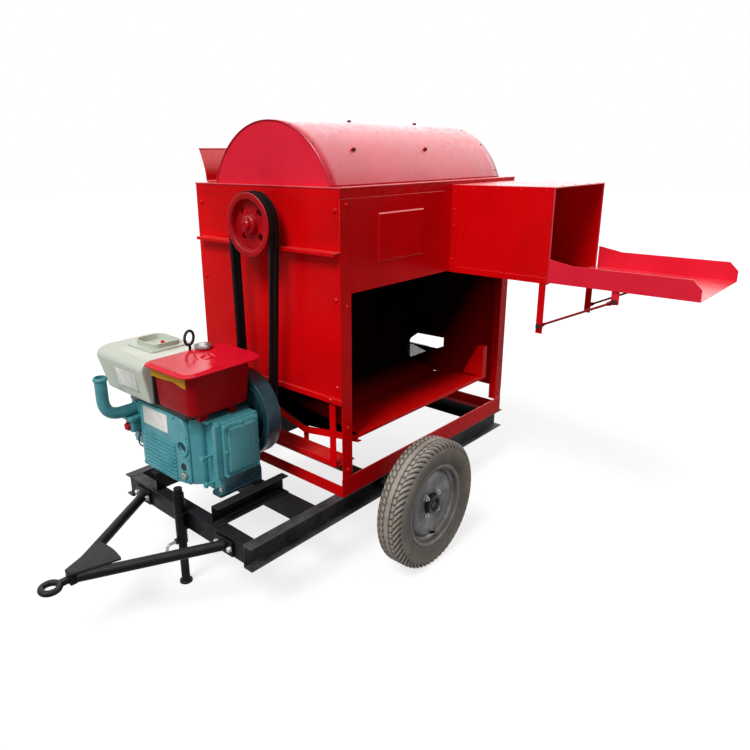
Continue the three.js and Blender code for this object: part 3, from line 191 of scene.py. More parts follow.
def stack(outlines, heights, axis="z"):
    """Outlines with as many points each, one over the other, closed at both ends."""
    heights = np.asarray(heights, float)[:, None]
    return grid(placed(np.asarray(outlines, float), heights, axis), round_v=True, capped=True)


def prism(outline, span, axis="x"):
    """An outline carried straight along an axis."""
    return stack([outline, outline], span, axis)


def slab(xs, ys, zs, corner, edge, axis="z"):
    """A rounded block: its outline draws in along a quarter circle towards both faces."""
    turn = np.linspace(0, np.pi / 2, 4)
    insets = edge * (1 - np.sin(turn))
    rise = edge * (1 - np.cos(turn))
    heights = np.concatenate([zs[0] + rise, (zs[1] - rise)[::-1]])
    outlines = [ring(shrunk(xs, inset), shrunk(ys, inset), max(corner - inset, 0.1))
                for inset in (*insets, *insets[::-1])]
    return stack(outlines, heights, axis)


def lathe(profile, axis="x", centre=(0, 0, 0), steps=64, closed=False):
    """A profile of (radius, place along the axis), each point carried round a circle."""
    radius, along = np.array(profile, float).T[..., None]
    points = placed(polar(radius, even_turns(steps)), along, axis)
    return grid(points + centre, round_u=closed, round_v=True, capped=not closed)


def sweep(path, section, closed=False, up=(0, 0, 1)):
    """A section carried along a path, square to the path at every point."""
    path = np.asarray(path, float)
    section = np.asarray(section, float)
    section = section if section.ndim == 3 else section[None]
    run = np.roll(path, -1, 0) - np.roll(path, 1, 0) if closed else np.gradient(path, axis=0)
    side = np.cross(np.asarray(up, float), run)
    side /= np.linalg.norm(side, axis=1)[:, None]
    top = np.cross(run, side)
    top /= np.linalg.norm(top, axis=1)[:, None]
    points = path[:, None] + section[..., :1] * side[:, None] + section[..., 1:] * top[:, None]
    return grid(points, round_u=closed, round_v=True, capped=not closed)


def rod(start, end, radius, sides=32):
    """A round bar between two points, with its end edges turned down."""
    start, end = np.asarray(start, float), np.asarray(end, float)
    length = np.linalg.norm(end - start)
    chamfer = min(radius * 0.12, length * 0.1)
    along = np.array([0, chamfer, length - chamfer, length])[:, None]
    heading = (end - start) / length
    size = np.array([radius - chamfer, radius, radius, radius - chamfer])[:, None, None]
    up = (1, 0, 0) if abs(heading[2]) > 0.9 else (0, 0, 1)
    return sweep(start + heading * along, circle(1, sides) * size, up=up)


def aimed(shape, place, direction):
    """A shape made on +Z, turned to a direction and carried to its place."""
    turn = np.array(Vector((0, 0, 1)).rotation_difference(Vector(direction)).to_matrix())
    return shape[0] @ turn.T + place, shape[1]


def bolts(places, direction, across, height):
    """Bolt heads: a washer, a hexagon, and its corners drawn in at the top."""
    hexagon = circle(across / np.sqrt(3), 6)
    washer = circle(across * 0.62, 18)
    head = stack([hexagon, hexagon, hexagon * 0.86], [height * 0.2, height * 0.85, height])
    disc = stack([washer, washer, washer * 0.94], [0, height * 0.15, height * 0.22])
    return combine(*[aimed(form, place, direction) for place in places for form in (disc, head)])


def rivets(places, direction, radius):
    """Round rivet heads: rings that follow a quarter circle in from the rim."""
    turn = np.array([0, 0.35, 0.7, 1.05, 1.35])
    rings = [circle(radius * np.cos(t), 12) for t in turn]
    head = stack(rings, radius * 0.6 * np.sin(turn))
    return combine(*[aimed(head, place, direction) for place in places])


def resample(path, count):
    """As many points at even distances along a path."""
    path = np.asarray(path, float)
    length = np.concatenate([[0], np.cumsum(np.linalg.norm(np.diff(path, axis=0), axis=1))])
    even = np.linspace(0, length[-1], count)
    return np.stack([np.interp(even, length, column) for column in path.T], -1)


def ribbon(path, thickness):
    """A strip of even thickness round a drawn line: the line moved both ways along its normal."""
    path = np.asarray(path, float)
    run = np.gradient(path, axis=0)
    normal = np.stack([-run[:, 1], run[:, 0]], -1)
    normal *= thickness / 2 / np.linalg.norm(normal, axis=1)[:, None]
    return np.vstack([path + normal, (path - normal)[::-1]])


# Making objects

SMOOTH_ANGLE = 38
BEVEL_ANGLE = 40


def mesh_of(name, shape):
    """A mesh of a shape, in metres and at its own place in the frame."""
    points, faces = shape
    mesh = bpy.data.meshes.new(name)
    mesh.from_pydata((ORIGIN + points * MM).tolist(), [],
                     [face for array in faces for face in array.tolist()])
    return mesh


def add(name, mesh, kind, node, body, edge):
    """An object for the mesh, with its material and rounded edges. It rides where the node that it
    replaces rides, or else on the body that is named."""
    obj = bpy.data.objects.new(name, mesh)
    bpy.context.scene.collection.objects.link(obj)
    material, slot = FINISHES[kind]
    mesh.materials.clear()
    mesh.materials.append(material)
    mesh.polygons.foreach_set("use_smooth", np.ones(len(mesh.polygons), bool))
    mesh.set_sharp_from_angle(angle=np.radians(SMOOTH_ANGLE))
    if edge:
        bevel = obj.modifiers.new("rounded edges", "BEVEL")
        bevel.width = edge * MM
        bevel.segments = 2
        bevel.limit_method = "ANGLE"
        bevel.angle_limit = np.radians(BEVEL_ANGLE)
        flat = obj.modifiers.new("flat faces", "WEIGHTED_NORMAL")
        flat.keep_sharp = True
    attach(obj, body_of(frame["nodes"][node])[0] if node else body)
    if node:
        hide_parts(node)
    return obj


def piece(name, shape, kind, node=None, body="chassis", edge=0, merged=False, dust_and_shade=None):
    """A closed shape as an object of its own, its faces turned outwards. A number at each point,
    for dust and painted shade, may be given for its finish to read."""
    mesh = mesh_of(name, shape)
    if dust_and_shade is not None:
        mesh.attributes.new("dust_and_shade", "FLOAT", "POINT").data.foreach_set("value", np.ravel(dust_and_shade))
    work = bmesh.new()
    work.from_mesh(mesh)
    if merged:
        bmesh.ops.remove_doubles(work, verts=work.verts, dist=MERGE)
    bmesh.ops.recalc_face_normals(work, faces=work.faces)
    work.to_mesh(mesh)
    work.free()
    add(name, mesh, kind, node, body, edge)


def skin(name, shape, kind, thickness, away, node):
    """An open surface given its thickness inwards, its face turned away from a point."""
    mesh = mesh_of(name, shape)
    work = bmesh.new()
    work.from_mesh(mesh)
    bmesh.ops.delete(work, geom=[v for v in work.verts if not v.link_faces], context="VERTS")
    centre = Vector(ORIGIN + np.asarray(away, float) * MM)
    if sum(f.normal.dot(f.calc_center_median() - centre) for f in work.faces) < 0:
        bmesh.ops.reverse_faces(work, faces=work.faces)
    work.to_mesh(mesh)
    work.free()
    wall = add(name, mesh, kind, node, None, 0).modifiers.new("sheet thickness", "SOLIDIFY")
    wall.thickness = thickness * MM
    wall.offset = -1
    wall.use_even_offset = True


def dressed(node, kind, edge):
    """The node's own shape, its flat faces joined up and its edges rounded."""
    work = bmesh.new()
    work.from_mesh(frame["nodes"][node].data)
    bmesh.ops.remove_doubles(work, verts=work.verts, dist=MERGE)
    bmesh.ops.dissolve_limit(work, angle_limit=np.radians(1), verts=work.verts, edges=work.edges)
    mesh = bpy.data.meshes.new(node + "_finished")
    work.to_mesh(mesh)
    work.free()
    add(node + "_finished", mesh, kind, node, None, edge)


# Finishes

def rgb(code):
    """A colour written in hexadecimal, as linear light."""
    parts = np.array([int(code[i:i + 2], 16) for i in (1, 3, 5)]) / 255
    linear = np.where(parts <= 0.04045, parts / 12.92, ((parts + 0.055) / 1.055) ** 2.4)
    return (*linear.tolist(), 1.0)


class Nodes:
    """A tree of nodes, with short calls for those that the materials and the world share."""

    def __init__(self, tree):
        """Calls on a tree that exists."""
        self.tree = tree

    def node(self, kind, inputs=None, **settings):
        """A new node, its settings and its inputs given."""
        made = self.tree.nodes.new(kind)
        for key, value in settings.items():
            setattr(made, key, value)
        for socket, value in (inputs or {}).items():
            self.set(made.inputs[socket], value)
        return made

    def set(self, socket, value):
        """A socket linked to another, or given a plain value."""
        if isinstance(value, bpy.types.NodeSocket):
            self.tree.links.new(value, socket)
        else:
            socket.default_value = value

    def ramp(self, value, low, high, start=0.0, end=1.0):
        """A value taken from one range to another, and held at its ends."""
        return self.node("ShaderNodeMapRange", {"Value": value, "From Min": low, "From Max": high,
                                                "To Min": start, "To Max": end}).outputs[0]

    def math(self, operation, *values):
        """One sum on one or two values."""
        return self.node("ShaderNodeMath", dict(enumerate(values)), operation=operation).outputs[0]

    def seen(self):
        """One where the camera, a mirror or glass looks at the surface, else nought."""
        path = self.node("ShaderNodeLightPath").outputs
        return self.math("MAXIMUM", path["Is Camera Ray"],
                         self.math("MAXIMUM", path["Is Glossy Ray"], path["Is Transmission Ray"]))


class Tree(Nodes):
    """A material's nodes, with short calls for the ones that every finish here uses."""

    def __init__(self, name):
        """A new material of that name."""
        self.material = bpy.data.materials.new(name)
        self.material.use_nodes = True
        super().__init__(self.material.node_tree)
        self.shader = self.tree.nodes["Principled BSDF"]
        self.place = self.node("ShaderNodeTexCoord").outputs

    def noise(self, scale, detail, rough=0.5, stretch=None):
        """Noise on the object's own coordinates, longer one way where stretch says so."""
        coords = self.place["Object"]
        if stretch:
            coords = self.node("ShaderNodeMapping", {"Vector": coords, "Scale": stretch}).outputs[0]
        return self.node("ShaderNodeTexNoise", {"Vector": coords, "Scale": scale, "Detail": detail,
                                                "Roughness": rough}).outputs["Fac"]

    def grain(self, scale, detail, start, end, rough=0.5):
        """Noise stretched to run from one value to another over its middle part, 0.3 to 0.7."""
        return self.ramp(self.noise(scale, detail, rough), 0.3, 0.7, start, end)

    def mix(self, share, first, second):
        """One colour blended to another."""
        made = self.node("ShaderNodeMix", {0: share, 6: first, 7: second}, data_type="RGBA")
        return made.outputs[2]

    def mottled(self, first, second, noise, low=0.35, high=0.65):
        """Two colours in soft patches of noise."""
        return self.mix(self.ramp(noise, low, high), rgb(first), rgb(second))

    def upward(self, low=0.35, high=0.95, start=0.0, end=1.0):
        """How far the surface faces up, on the object's own coordinates."""
        up = self.node("ShaderNodeSeparateXYZ", {"Vector": self.place["Normal"]}).outputs["Z"]
        return self.ramp(up, low, high, start, end)

    def bump(self, height, distance, below=None):
        """A rise and fall of that many millimetres, laid over an earlier one."""
        inputs = {"Height": height, "Distance": distance * MM, "Strength": 1.0}
        if below is not None:
            inputs["Normal"] = below
        return self.node("ShaderNodeBump", inputs).outputs[0]

    def finish(self, colour, roughness, normal, **sockets):
        """The shader's own sockets."""
        self.set(self.shader.inputs["Base Color"], colour)
        self.set(self.shader.inputs["Roughness"], roughness)
        self.set(self.shader.inputs["Normal"], normal)
        for socket, value in sockets.items():
            self.set(self.shader.inputs[socket.replace("_", " ")], value)
        return self.material


# The space just inside the sheets of the threshing body, and the slanted band where the painted
# shade deepens
INSIDE = (("X", 1.25, 1298.7), ("Y", -446.7, 446.7), ("Z", 480, 1600))
SHADE_LEAN = 0.6
SHADE_HEIGHT = 520
SHADE_REACH = (-310, 80)


def painted_inside_shade(tree, under):
    """Whether a place lies inside the threshing body, and how deep the painted shade is there: it
    deepens away from the open near side, and sooner the higher the place is; faces that look down
    more than the two numbers of under are painted all the same."""
    place = tree.node("ShaderNodeSeparateXYZ", {"Vector": tree.place["Object"]}).outputs
    share = tree.upward(*under)
    for axis, low, high in INSIDE:
        start = ORIGIN["XYZ".index(axis)]
        for edge, step in ((low, 1), (high, -1)):
            past = tree.math("SUBTRACT", place[axis], start + edge * MM)
            inside = tree.ramp(tree.math("MULTIPLY", past, step), 0, 0.6 * MM)
            share = tree.math("MULTIPLY", share, inside)
    inwards = tree.math("ADD", place["Y"], tree.math("MULTIPLY", place["Z"], SHADE_LEAN))
    start = ORIGIN[1] + SHADE_LEAN * SHADE_HEIGHT * MM
    depth = tree.ramp(inwards, *(start + limit * MM for limit in SHADE_REACH))
    return share, tree.math("MULTIPLY", share, depth)


def gloss_paint(name, base, deep, dust="#b9a595", dustiness=0.1, dirt="#2a1412", dirtiness=0.12,
                gloss=0.28, wave=0.9, shine=0.55, inside_shade=None, under=(-0.12, -0.02)):
    """Sprayed gloss paint on sheet: uneven colour, dust on what faces up, dirt, orange peel.
    Upright faces carry a film that dulls them; inside the body, if a shade colour is given, the
    colour darkens towards it as painted shade."""
    tree = Tree(name)
    colour = tree.mottled(base, deep, tree.noise(2.6, 3))
    mirror = tree.upward(0.0, 0.5, 0.04, shine)
    settled = tree.math("MULTIPLY", tree.upward(), tree.grain(11, 6, 0, dustiness, 0.6))
    # Inside the body the colour darkens towards a near-black red: painted shade, deeper further in.
    if inside_shade:
        inside, shade_share = painted_inside_shade(tree, under)
        colour = tree.mix(shade_share, colour, rgb(inside_shade))
        mirror = tree.math("MULTIPLY", mirror, tree.ramp(inside, 0, 1, 1, 0))
        settled = tree.math("MULTIPLY", settled, tree.ramp(inside, 0, 1, 1, 0.1))
    soil = tree.ramp(tree.noise(6.5, 9, 0.68), 0.54, 0.78, 0, dirtiness)
    colour = tree.mix(soil, colour, rgb(dirt))
    colour = tree.mix(settled, colour, rgb(dust))
    roughness = tree.math("ADD", tree.grain(38, 5, gloss - 0.06, gloss + 0.1, 0.6),
                          tree.math("MULTIPLY", settled, 1.2))
    sheet = tree.bump(tree.noise(4.2, 1.5), wave)
    normal = tree.bump(tree.noise(520, 2), 0.025, sheet)
    return tree.finish(colour, roughness, normal, Specular_IOR_Level=mirror)


def chassis_paint(name, worn):
    """Satin black over rolled steel, with pale road dust in patches and small bare scratches."""
    tree = Tree(name)
    colour = tree.mottled("#08080a", "#101013", tree.noise(3.1, 4))
    patch = tree.ramp(tree.noise(5.5, 9, 0.7), 0.54 - worn / 3, 0.78 - worn / 4,
                      worn / 3, 0.22 + worn)
    film = tree.math("MAXIMUM", patch, tree.math("MULTIPLY", tree.upward(), 0.1))
    colour = tree.mix(film, colour, rgb("#67676b"))
    scratch = tree.ramp(tree.noise(160, 2, 0.5, (1, 9, 9)), 0.72, 0.78, 0, 0.6)
    colour = tree.mix(scratch, colour, rgb("#7d7a76"))
    roughness = tree.math("ADD", tree.grain(30, 6, 0.26, 0.5), tree.math("MULTIPLY", film, 0.5))
    normal = tree.bump(tree.noise(240, 4), 0.06, tree.bump(tree.noise(9, 2), 0.6))
    mirror = tree.upward(0.05, 0.7, 0.08, 0.18)
    return tree.finish(colour, roughness, normal, Specular_IOR_Level=mirror)


def cast_paint(name, base, deep, dirt, gloss=0.3):
    """Paint on a sand casting: a pebbled skin that shows through, oil and dirt in patches."""
    tree = Tree(name)
    colour = tree.mottled(base, deep, tree.noise(7, 4))
    soil = tree.ramp(tree.noise(14, 9, 0.7), 0.52, 0.8, 0, 0.5)
    colour = tree.mix(soil, colour, rgb(dirt))
    roughness = tree.grain(45, 5, gloss - 0.07, gloss + 0.16)
    pebble = tree.bump(tree.noise(210, 3, 0.6), 0.22, tree.bump(tree.noise(18, 2), 0.8))
    return tree.finish(colour, roughness, pebble, Specular_IOR_Level=0.28)


def tyre_rubber():
    """Black rubber under dry road dust, thick on the tread and patchy on the side walls; the black
    shows in the cuts and towards the rim as painted shade, as the mesh's own number says."""
    tree = Tree("tyre_rubber")
    worn = tree.node("ShaderNodeAttribute", attribute_name="dust_and_shade").outputs["Fac"]
    patches = tree.ramp(tree.noise(9, 7, 0.65), 0.32, 0.66, 0.62, 1.0)
    # worn reads the tyre's number: dust on the tread, painted shade in the cuts and towards the
    # rim.
    dusty = tree.math("MULTIPLY", worn, tree.math("MULTIPLY", patches, tree.grain(130, 4, 0.85, 1)))
    colour = tree.mottled("#bab1a7", "#a89e90", tree.noise(5, 4), 0.4, 0.6)
    colour = tree.mix(dusty, rgb("#171615"), colour)
    normal = tree.bump(tree.noise(300, 5, 0.6), 0.2, tree.bump(tree.noise(26, 4), 0.5))
    return tree.finish(colour, tree.grain(30, 4, 0.72, 0.95), normal, Specular_IOR_Level=0.2)


def wheel_silver():
    """Silver wheel paint with brown dust lying in it and rust specks."""
    tree = Tree("wheel_silver")
    dusty = tree.ramp(tree.noise(10, 7, 0.62), 0.3, 0.62, 0.3, 0.9)
    colour = tree.mix(dusty, rgb("#868a8d"), rgb("#635e5a"))
    rust = tree.ramp(tree.noise(60, 6, 0.7), 0.68, 0.76, 0, 0.7)
    colour = tree.mix(rust, colour, rgb("#5a4030"))
    roughness = tree.math("ADD", tree.grain(40, 4, 0.26, 0.36), tree.math("MULTIPLY", dusty, 0.35))
    normal = tree.bump(tree.noise(280, 3), 0.05, tree.bump(tree.noise(12, 2), 0.5))
    metal = tree.ramp(dusty, 0.1, 0.8, 0.6, 0.1)
    return tree.finish(colour, roughness, normal, Metallic=metal, Specular_IOR_Level=0.3)


def bare_metal(name, base, deep, rough, depth):
    """Bare metal: two greys, a fine grain and dull patches."""
    tree = Tree(name)
    colour = tree.mottled(base, deep, tree.noise(22, 6, 0.6), 0.34, 0.68)
    roughness = tree.grain(70, 5, rough - 0.08, rough + 0.14, 0.6)
    return tree.finish(colour, roughness, tree.bump(tree.noise(300, 3), depth), Metallic=0.9)


def belt_rubber():
    """Matt belt rubber with a fabric rib along its length and grey wear."""
    tree = Tree("belt_rubber")
    worn = tree.ramp(tree.noise(40, 6, 0.6), 0.4, 0.75, 0, 0.4)
    colour = tree.mix(worn, rgb("#040405"), rgb("#161618"))
    rib = tree.noise(900, 2, 0.5, (1, 0.1, 0.1))
    roughness = tree.ramp(worn, 0, 0.5, 0.55, 0.8)
    return tree.finish(colour, roughness, tree.bump(rib, 0.15), Specular_IOR_Level=0.12)


def plate_metal():
    """A bare plate: pale satin metal with faint smears."""
    tree = Tree("blank_plate")
    colour = tree.mottled("#e6e4df", "#cfccc6", tree.noise(25, 5), 0.35, 0.7)
    return tree.finish(colour, tree.grain(80, 4, 0.3, 0.5), tree.bump(tree.noise(60, 2), 0.08),
                       Metallic=0.35)


FINISHES = {
    # red and pan_red darken inside the body towards the near-black red #1a0203: painted shade.
    "red": (gloss_paint("red_paint", "#e2060d", "#cb040a", inside_shade="#1a0203"), "red_paint"),
    "pan_red": (gloss_paint("pan_paint", "#e8080c", "#d60609", inside_shade="#1a0203", under=(0.3, 0.6)),
                "red_paint"),
    # The pale pink of the folded edges is a painted highlight.
    "hem_highlight_red": (gloss_paint("hem_painted_highlight", "#ee5a66", "#d2303c", dirtiness=0.5), "red_paint"),
    "cover_red": (gloss_paint("cover_paint", "#cf1436", "#c0102e", dustiness=0.06), "red_paint"),
    "tray_red": (gloss_paint("tray_paint", "#ee2a40", "#e02036"), "red_paint"),
    "pulley_red": (gloss_paint("pulley_paint", "#c2101c", "#a40c16"), "red_paint"),
    "tank_red": (gloss_paint("dark_red_paint", "#9c0a12", "#84070e", wave=0.4, gloss=0.24),
                 "dark_red_paint"),
    "lid_red": (gloss_paint("lid_paint", "#e60e2e", "#d60a24", wave=0.5, gloss=0.12,
                            dustiness=0.02, shine=0.13), "dark_red_paint"),
    "pale_green": (gloss_paint("grey_green_paint", "#cfd5c8", "#c3cabb", dirt="#6a6c5a", wave=0.5,
                               dust="#dcd8c8"), "grey_green_paint"),
    "black": (chassis_paint("black_paint", 0.0), "black_paint"),
    "worn_black": (chassis_paint("worn_black_paint", 0.45), "black_paint"),
    "teal": (cast_paint("teal_paint", "#529da6", "#438f97", "#1a3f46"), "teal_paint"),
    # A darker copy of the engine's teal: painted shade on the flywheel and under the crankcase
    # door.
    "teal_shaded": (cast_paint("teal_painted_shade", "#2d5d67", "#1a3943", "#08151a", 0.2), "teal_paint"),
    "iron": (cast_paint("iron_paint", "#232323", "#1b1a1b", "#3a342f", 0.5), "iron"),
    "tyre": (tyre_rubber(), "tyre_rubber"),
    "silver": (wheel_silver(), "wheel_silver"),
    "cast": (bare_metal("iron", "#4c4a49", "#343231", 0.55, 0.2), "iron"),
    "steel": (bare_metal("bright_steel", "#b4b3b0", "#8d8b88", 0.32, 0.03), "bright_steel"),
    "belt": (belt_rubber(), "belt_rubber"),
    "plate": (plate_metal(), "bright_steel"),
    "stripe": (gloss_paint("yellow_stripe", "#d79a10", "#e0ad1c"), "bright_steel"),
}


# Chassis

BARS = ("near_side_rail", "far_side_rail", "front_cross_beam", "middle_cross_beam",
        "rear_cross_beam", "near_engine_rail", "far_engine_rail")
BEAM_FACE = -502.3          # front of the front cross beam
DRAW_ROOT = (290, 283)      # y and z of a drawbar tube's foot
DRAW_TIP = (-965, 14, 255)  # x, y and z of its other end
DRAW_RADIUS = 21
DRAW_PLATE = (56, 31, 8)    # half width, half height and thickness
EYE_X = -1057
EYE_Z = 250
EYE_RING = 31.5             # to the middle of the towing ring's bar
EYE_BAR = 12
GUSSET_END = (-820, 82)     # x and y of its wide end
SLEEVE = (-524.8, -25)      # x and y of the prop leg
SLEEVE_SPAN = (190, 415)
PROP_RADIUS = 17.5
CLAMP_Z = 205
AXLE_RADIUS = 25
SPINDLE_RADIUS = 17.7
SPINDLE_START = 630         # y of its shoulder
AXLE_PLATE = (390.7, 398.7)  # y of its two faces


def draw_height(x):
    """The middle line of a drawbar tube at any place along the machine."""
    return np.interp(x, (DRAW_TIP[0], BEAM_FACE), (DRAW_TIP[2], DRAW_ROOT[1]))


def weld(centre, radius, axis, bead=3.5):
    """A weld bead: a small round section carried round a circle, thick and thin in turn."""
    size = bead * (1 + 0.14 * np.sin(even_turns(72) * 23))
    path = placed(circle(radius, 72), 0, axis) + centre
    up = {"x": (1, 0, 0), "y": (0, 1, 0), "z": (0, 0, 1)}[axis]
    return sweep(path, circle(1, 8) * size[:, None, None], closed=True, up=up)


def drawbar():
    """Each leg is a tube from its bolted foot on the front beam to the ring at the tip."""
    half_y, half_z, thick = DRAW_PLATE
    face = BEAM_FACE - thick
    for side, name in ((-1, "near"), (1, "far")):
        y, z = side * DRAW_ROOT[0], DRAW_ROOT[1]
        tube = rod((BEAM_FACE - 2, y, z), (DRAW_TIP[0], side * DRAW_TIP[1], DRAW_TIP[2]),
                   DRAW_RADIUS, 40)
        foot = slab(about(y, half_y), about(z, half_z), (face, BEAM_FACE), 6, 1.5, "x")
        bead = weld((face - 1, y - side * 5, z), DRAW_RADIUS + 2, "x")
        piece(f"{name}_drawbar_tube", combine(tube, foot, bead), "black", f"{name}_drawbar_leg")
        places = [(face, bolt_y, z + 2) for bolt_y in about(y, 41)]
        piece(f"{name}_drawbar_bolts", bolts(places, (-1, 0, 0), 19, 12), "steel")


def hitch():
    """The towing ring, its shank between the tubes and the plate that is welded over them."""
    high = reach("hitch_eye")[1]
    eye = lathe(circle(EYE_BAR) + (EYE_RING, EYE_Z), "z", (EYE_X, 0, 0), closed=True)
    back = DRAW_TIP[0] - 0.3
    root = back - 26
    neck = slab(about(0, 12), about(EYE_Z, 12), (EYE_X + 30, back - 10), 6, 2, "x")
    shank = slab(about(0, 20), (EYE_Z - 20, high[2] - 7), (root, back), 4, 2, "x")
    end_x, end_y = GUSSET_END
    plan = eased([(root, 20), (root, -20), (end_x, -end_y), (end_x + 11, 0), (end_x, end_y)],
                 [5, 5, 8, 60, 8])
    rise = draw_height(plan[:, 0]) + DRAW_RADIUS + 0.3 + np.array([[0], [6]])
    plate = grid(placed(plan, rise, "z"), round_v=True, capped=True)
    seams = []
    for side in (-1, 1):
        x = np.linspace(back - 24, end_x - 2, 60)
        y = side * np.interp(x, (root, end_x), (20, end_y))
        seam = np.stack([x, y, draw_height(x) + DRAW_RADIUS + 1.5], -1)
        bead = circle(1, 8) * (3.2 + 0.5 * np.sin(np.arange(60) * 1.9))[:, None, None]
        seams.append(sweep(seam, bead))
    piece("hitch_ring", combine(eye, neck, shank, plate, *seams), "black", "hitch_eye", edge=1.5)


def prop():
    """The sleeve on the beam, the leg that slides in it, and the clamp screw with its handle."""
    x, y = SLEEVE
    centre = (x, y, 0)
    foot, top = SLEEVE_SPAN
    wall = eased([(18, foot), (22.5, foot), (22.5, top), (18, top)], 1.2)
    pad = slab(about(y, 20), (249, 329), (x, BEAM_FACE), 3, 1.2, "x")
    boss = rod((x - 32.5, y, CLAMP_Z), (x - 19, y, CLAMP_Z), 13)
    bead = weld((x, y, 329), 23, "z", 2.5)
    piece("prop_sleeve_tube", combine(lathe(wall, "z", centre, 56, True), pad, boss, bead), "black",
          "prop_sleeve")
    leg = [(25, 0), (27, 1.5), (27, 8.5), (25.5, 10), (19.5, 10), (PROP_RADIUS, 13),
           (PROP_RADIUS, 438.5), (16, 440)]
    piece("prop_leg_bar", lathe(leg, "z", centre, 48), "black", "prop_leg")
    low, high = reach("prop_clamp_screw")
    path = eased([(high[0], y, CLAMP_Z), (low[0] + 23, y, CLAMP_Z), (low[0] + 6, y, low[2] + 3)],
                 9, closed=False, steps=9)
    screw = sweep(path, circle(6, 20), up=(0, 1, 0))
    piece("prop_clamp_handle", screw, "steel", "prop_clamp_screw")


def axle_bar():
    """The cross axle with its spindles and the plates that weld it to the rails."""
    low, high = reach("axle")
    x, _, z = middle_of("axle")
    profile = [(16, low[1]), (SPINDLE_RADIUS, low[1] + 2), (SPINDLE_RADIUS, -SPINDLE_START),
               (AXLE_RADIUS, 1 - SPINDLE_START), (AXLE_RADIUS, SPINDLE_START - 1),
               (SPINDLE_RADIUS, SPINDLE_START), (SPINDLE_RADIUS, high[1] - 2), (16, high[1])]
    shapes = [lathe(profile, "y", (x, 0, z), 40)]
    for side in (-1, 1):
        faces = sorted(side * face for face in AXLE_PLATE)
        shapes.append(slab(about(x, 42), about(z, 42), faces, 5, 1.2, "y"))
        shapes += [weld((x, side * y, z), AXLE_RADIUS + 2, "y") for y in (388, 407)]
    piece("axle_bar", combine(*shapes), "black", "axle")


# Wheels, made round the Y axis with the outer face towards -Y

LUGS = 60                   # shoulder lugs round the tyre
TYRE_STEPS = LUGS * 13
TREAD_DEPTH = 6.5
# Radius and width of half the tyre's section, and radius and place of the rim's and disc's lines
TYRE_HALF = [(160.3, 46.7), (181, 46.9), (186, 51.5), (205, 58.4), (226, 61), (246, 60), (262, 57),
             (273, 52.5), (280, 47), (283, 40)]
RIM_LINE = [(181.3, -49.5), (178, -47.5), (171, -46.5), (165, -40), (160.5, -28), (151, -19),
            (146, -8), (147, 10), (157.6, 24), (158.4, 42), (167, 46.5), (178, 46.5), (181.3, 49.5)]
DISC_LINE = [(45, -18), (88, -18), (99, -21), (116, -27.5), (134, -27.5), (145.5, -21), (146, -6)]
STUD_CIRCLE = 56


def tread(y, turn):
    """How deep the tread is cut: two zigzag grooves each side of a smooth middle rib, curved cuts
    between them and short slots over the shoulders, each a smooth step of its distance from its
    own line."""
    count = turn * LUGS / FULL_TURN
    aside = np.abs(y)
    wave = 2 * np.abs(2 * (count % 1) - 1) - 1
    grooves = np.maximum(np.exp(-((aside - 14 - 1.6 * wave) / 2) ** 2),
                         0.8 * np.exp(-((aside - 33 - 1.2 * wave) / 1.7) ** 2))
    bow = count + 0.5 * (y > 0) + ((aside - 14) / 34) ** 2
    cut = 0.75 * np.exp(-(((bow % 1) - 0.5) / 0.12) ** 2) * ((aside > 15) & (aside < 34))
    slot = 1 / (1 + np.exp((np.abs((bow + 0.2) % 1 - 0.5) - 0.16) * 34)) / (1 + np.exp(37 - aside))
    return np.maximum(np.maximum(grooves, cut), slot)


def tyre():
    """The section is carried round the axle; the tread depth is taken off the radius, and two
    raised lines run round each side wall. The number that comes with it is high on the tread, for
    dust, and low in the cuts and towards the rim, for painted shade."""
    half = np.array(TYRE_HALF)
    corners = np.vstack([half * (1, -1), half[::-1]])
    radius, y = resample(eased(corners, 6, closed=False), 116).T
    turn = even_turns(TYRE_STEPS)
    fade = np.clip((radius - 252) / 10, 0, 1)[:, None]
    depth = tread(y[:, None], turn[None, :]) * fade
    line = np.exp(-((radius - 243) / 1.8) ** 2) + np.exp(-((radius - 203) / 1.6) ** 2)
    inward = np.where(np.abs(y) > 46, line - 0.6, 0) * np.sign(y)
    # High on the tread for dust; lower towards the rim and in the cuts as painted shade.
    dust_and_shade_level = (0.42 + 0.3 * np.clip((radius - 200) / 60, 0, 1)
             + 0.28 * np.clip((radius - 266) / 6, 0, 1))
    points = placed(polar(radius[:, None] - TREAD_DEPTH * depth, turn), (y + inward)[:, None], "y")
    return grid(points, round_u=True, round_v=True), dust_and_shade_level[:, None] * (1 - 0.95 * depth ** 0.6)


def rim():
    """The rolled rim and its dished disc, each a drawn line given its sheet thickness."""
    barrel = ribbon(resample(eased(RIM_LINE, 4, closed=False), 60), 3)
    disc = ribbon(resample(eased(DISC_LINE, 7, closed=False), 36), 4)
    bead = weld((0, -20, 0), 145, "y", 2.5)
    return combine(lathe(barrel, "y", steps=128, closed=True),
                   lathe(disc, "y", steps=128, closed=True), bead)


def hub():
    """The hub turned in one: hollow nose, flange behind the disc and barrel, with a castle nut."""
    profile = [(27, -34), (29, -42), (37, -43.5), (40.5, -41), (41, -37), (41, -16), (69, -15.7),
               (70, -14.5), (70, -6), (69, -4.7), (42, -4.7), (40, -2), (40, 50), (38, 51)]
    nut = stack([circle(16, 6), circle(16, 6), circle(14, 6)], [-38, -28, -27], "y")
    return combine(lathe(profile, "y", steps=64), nut)


def wheel_nuts():
    """Four wheel nuts on their studs."""
    turn = (np.arange(4) + 0.5) * FULL_TURN / 4
    places = [(STUD_CIRCLE * np.cos(t), -20.2, STUD_CIRCLE * np.sin(t)) for t in turn]
    studs = [rod(place, np.add(place, (0, -20.5, 0)), 6, 16) for place in places]
    return combine(bolts(places, (0, -1, 0), 22, 13), *studs)


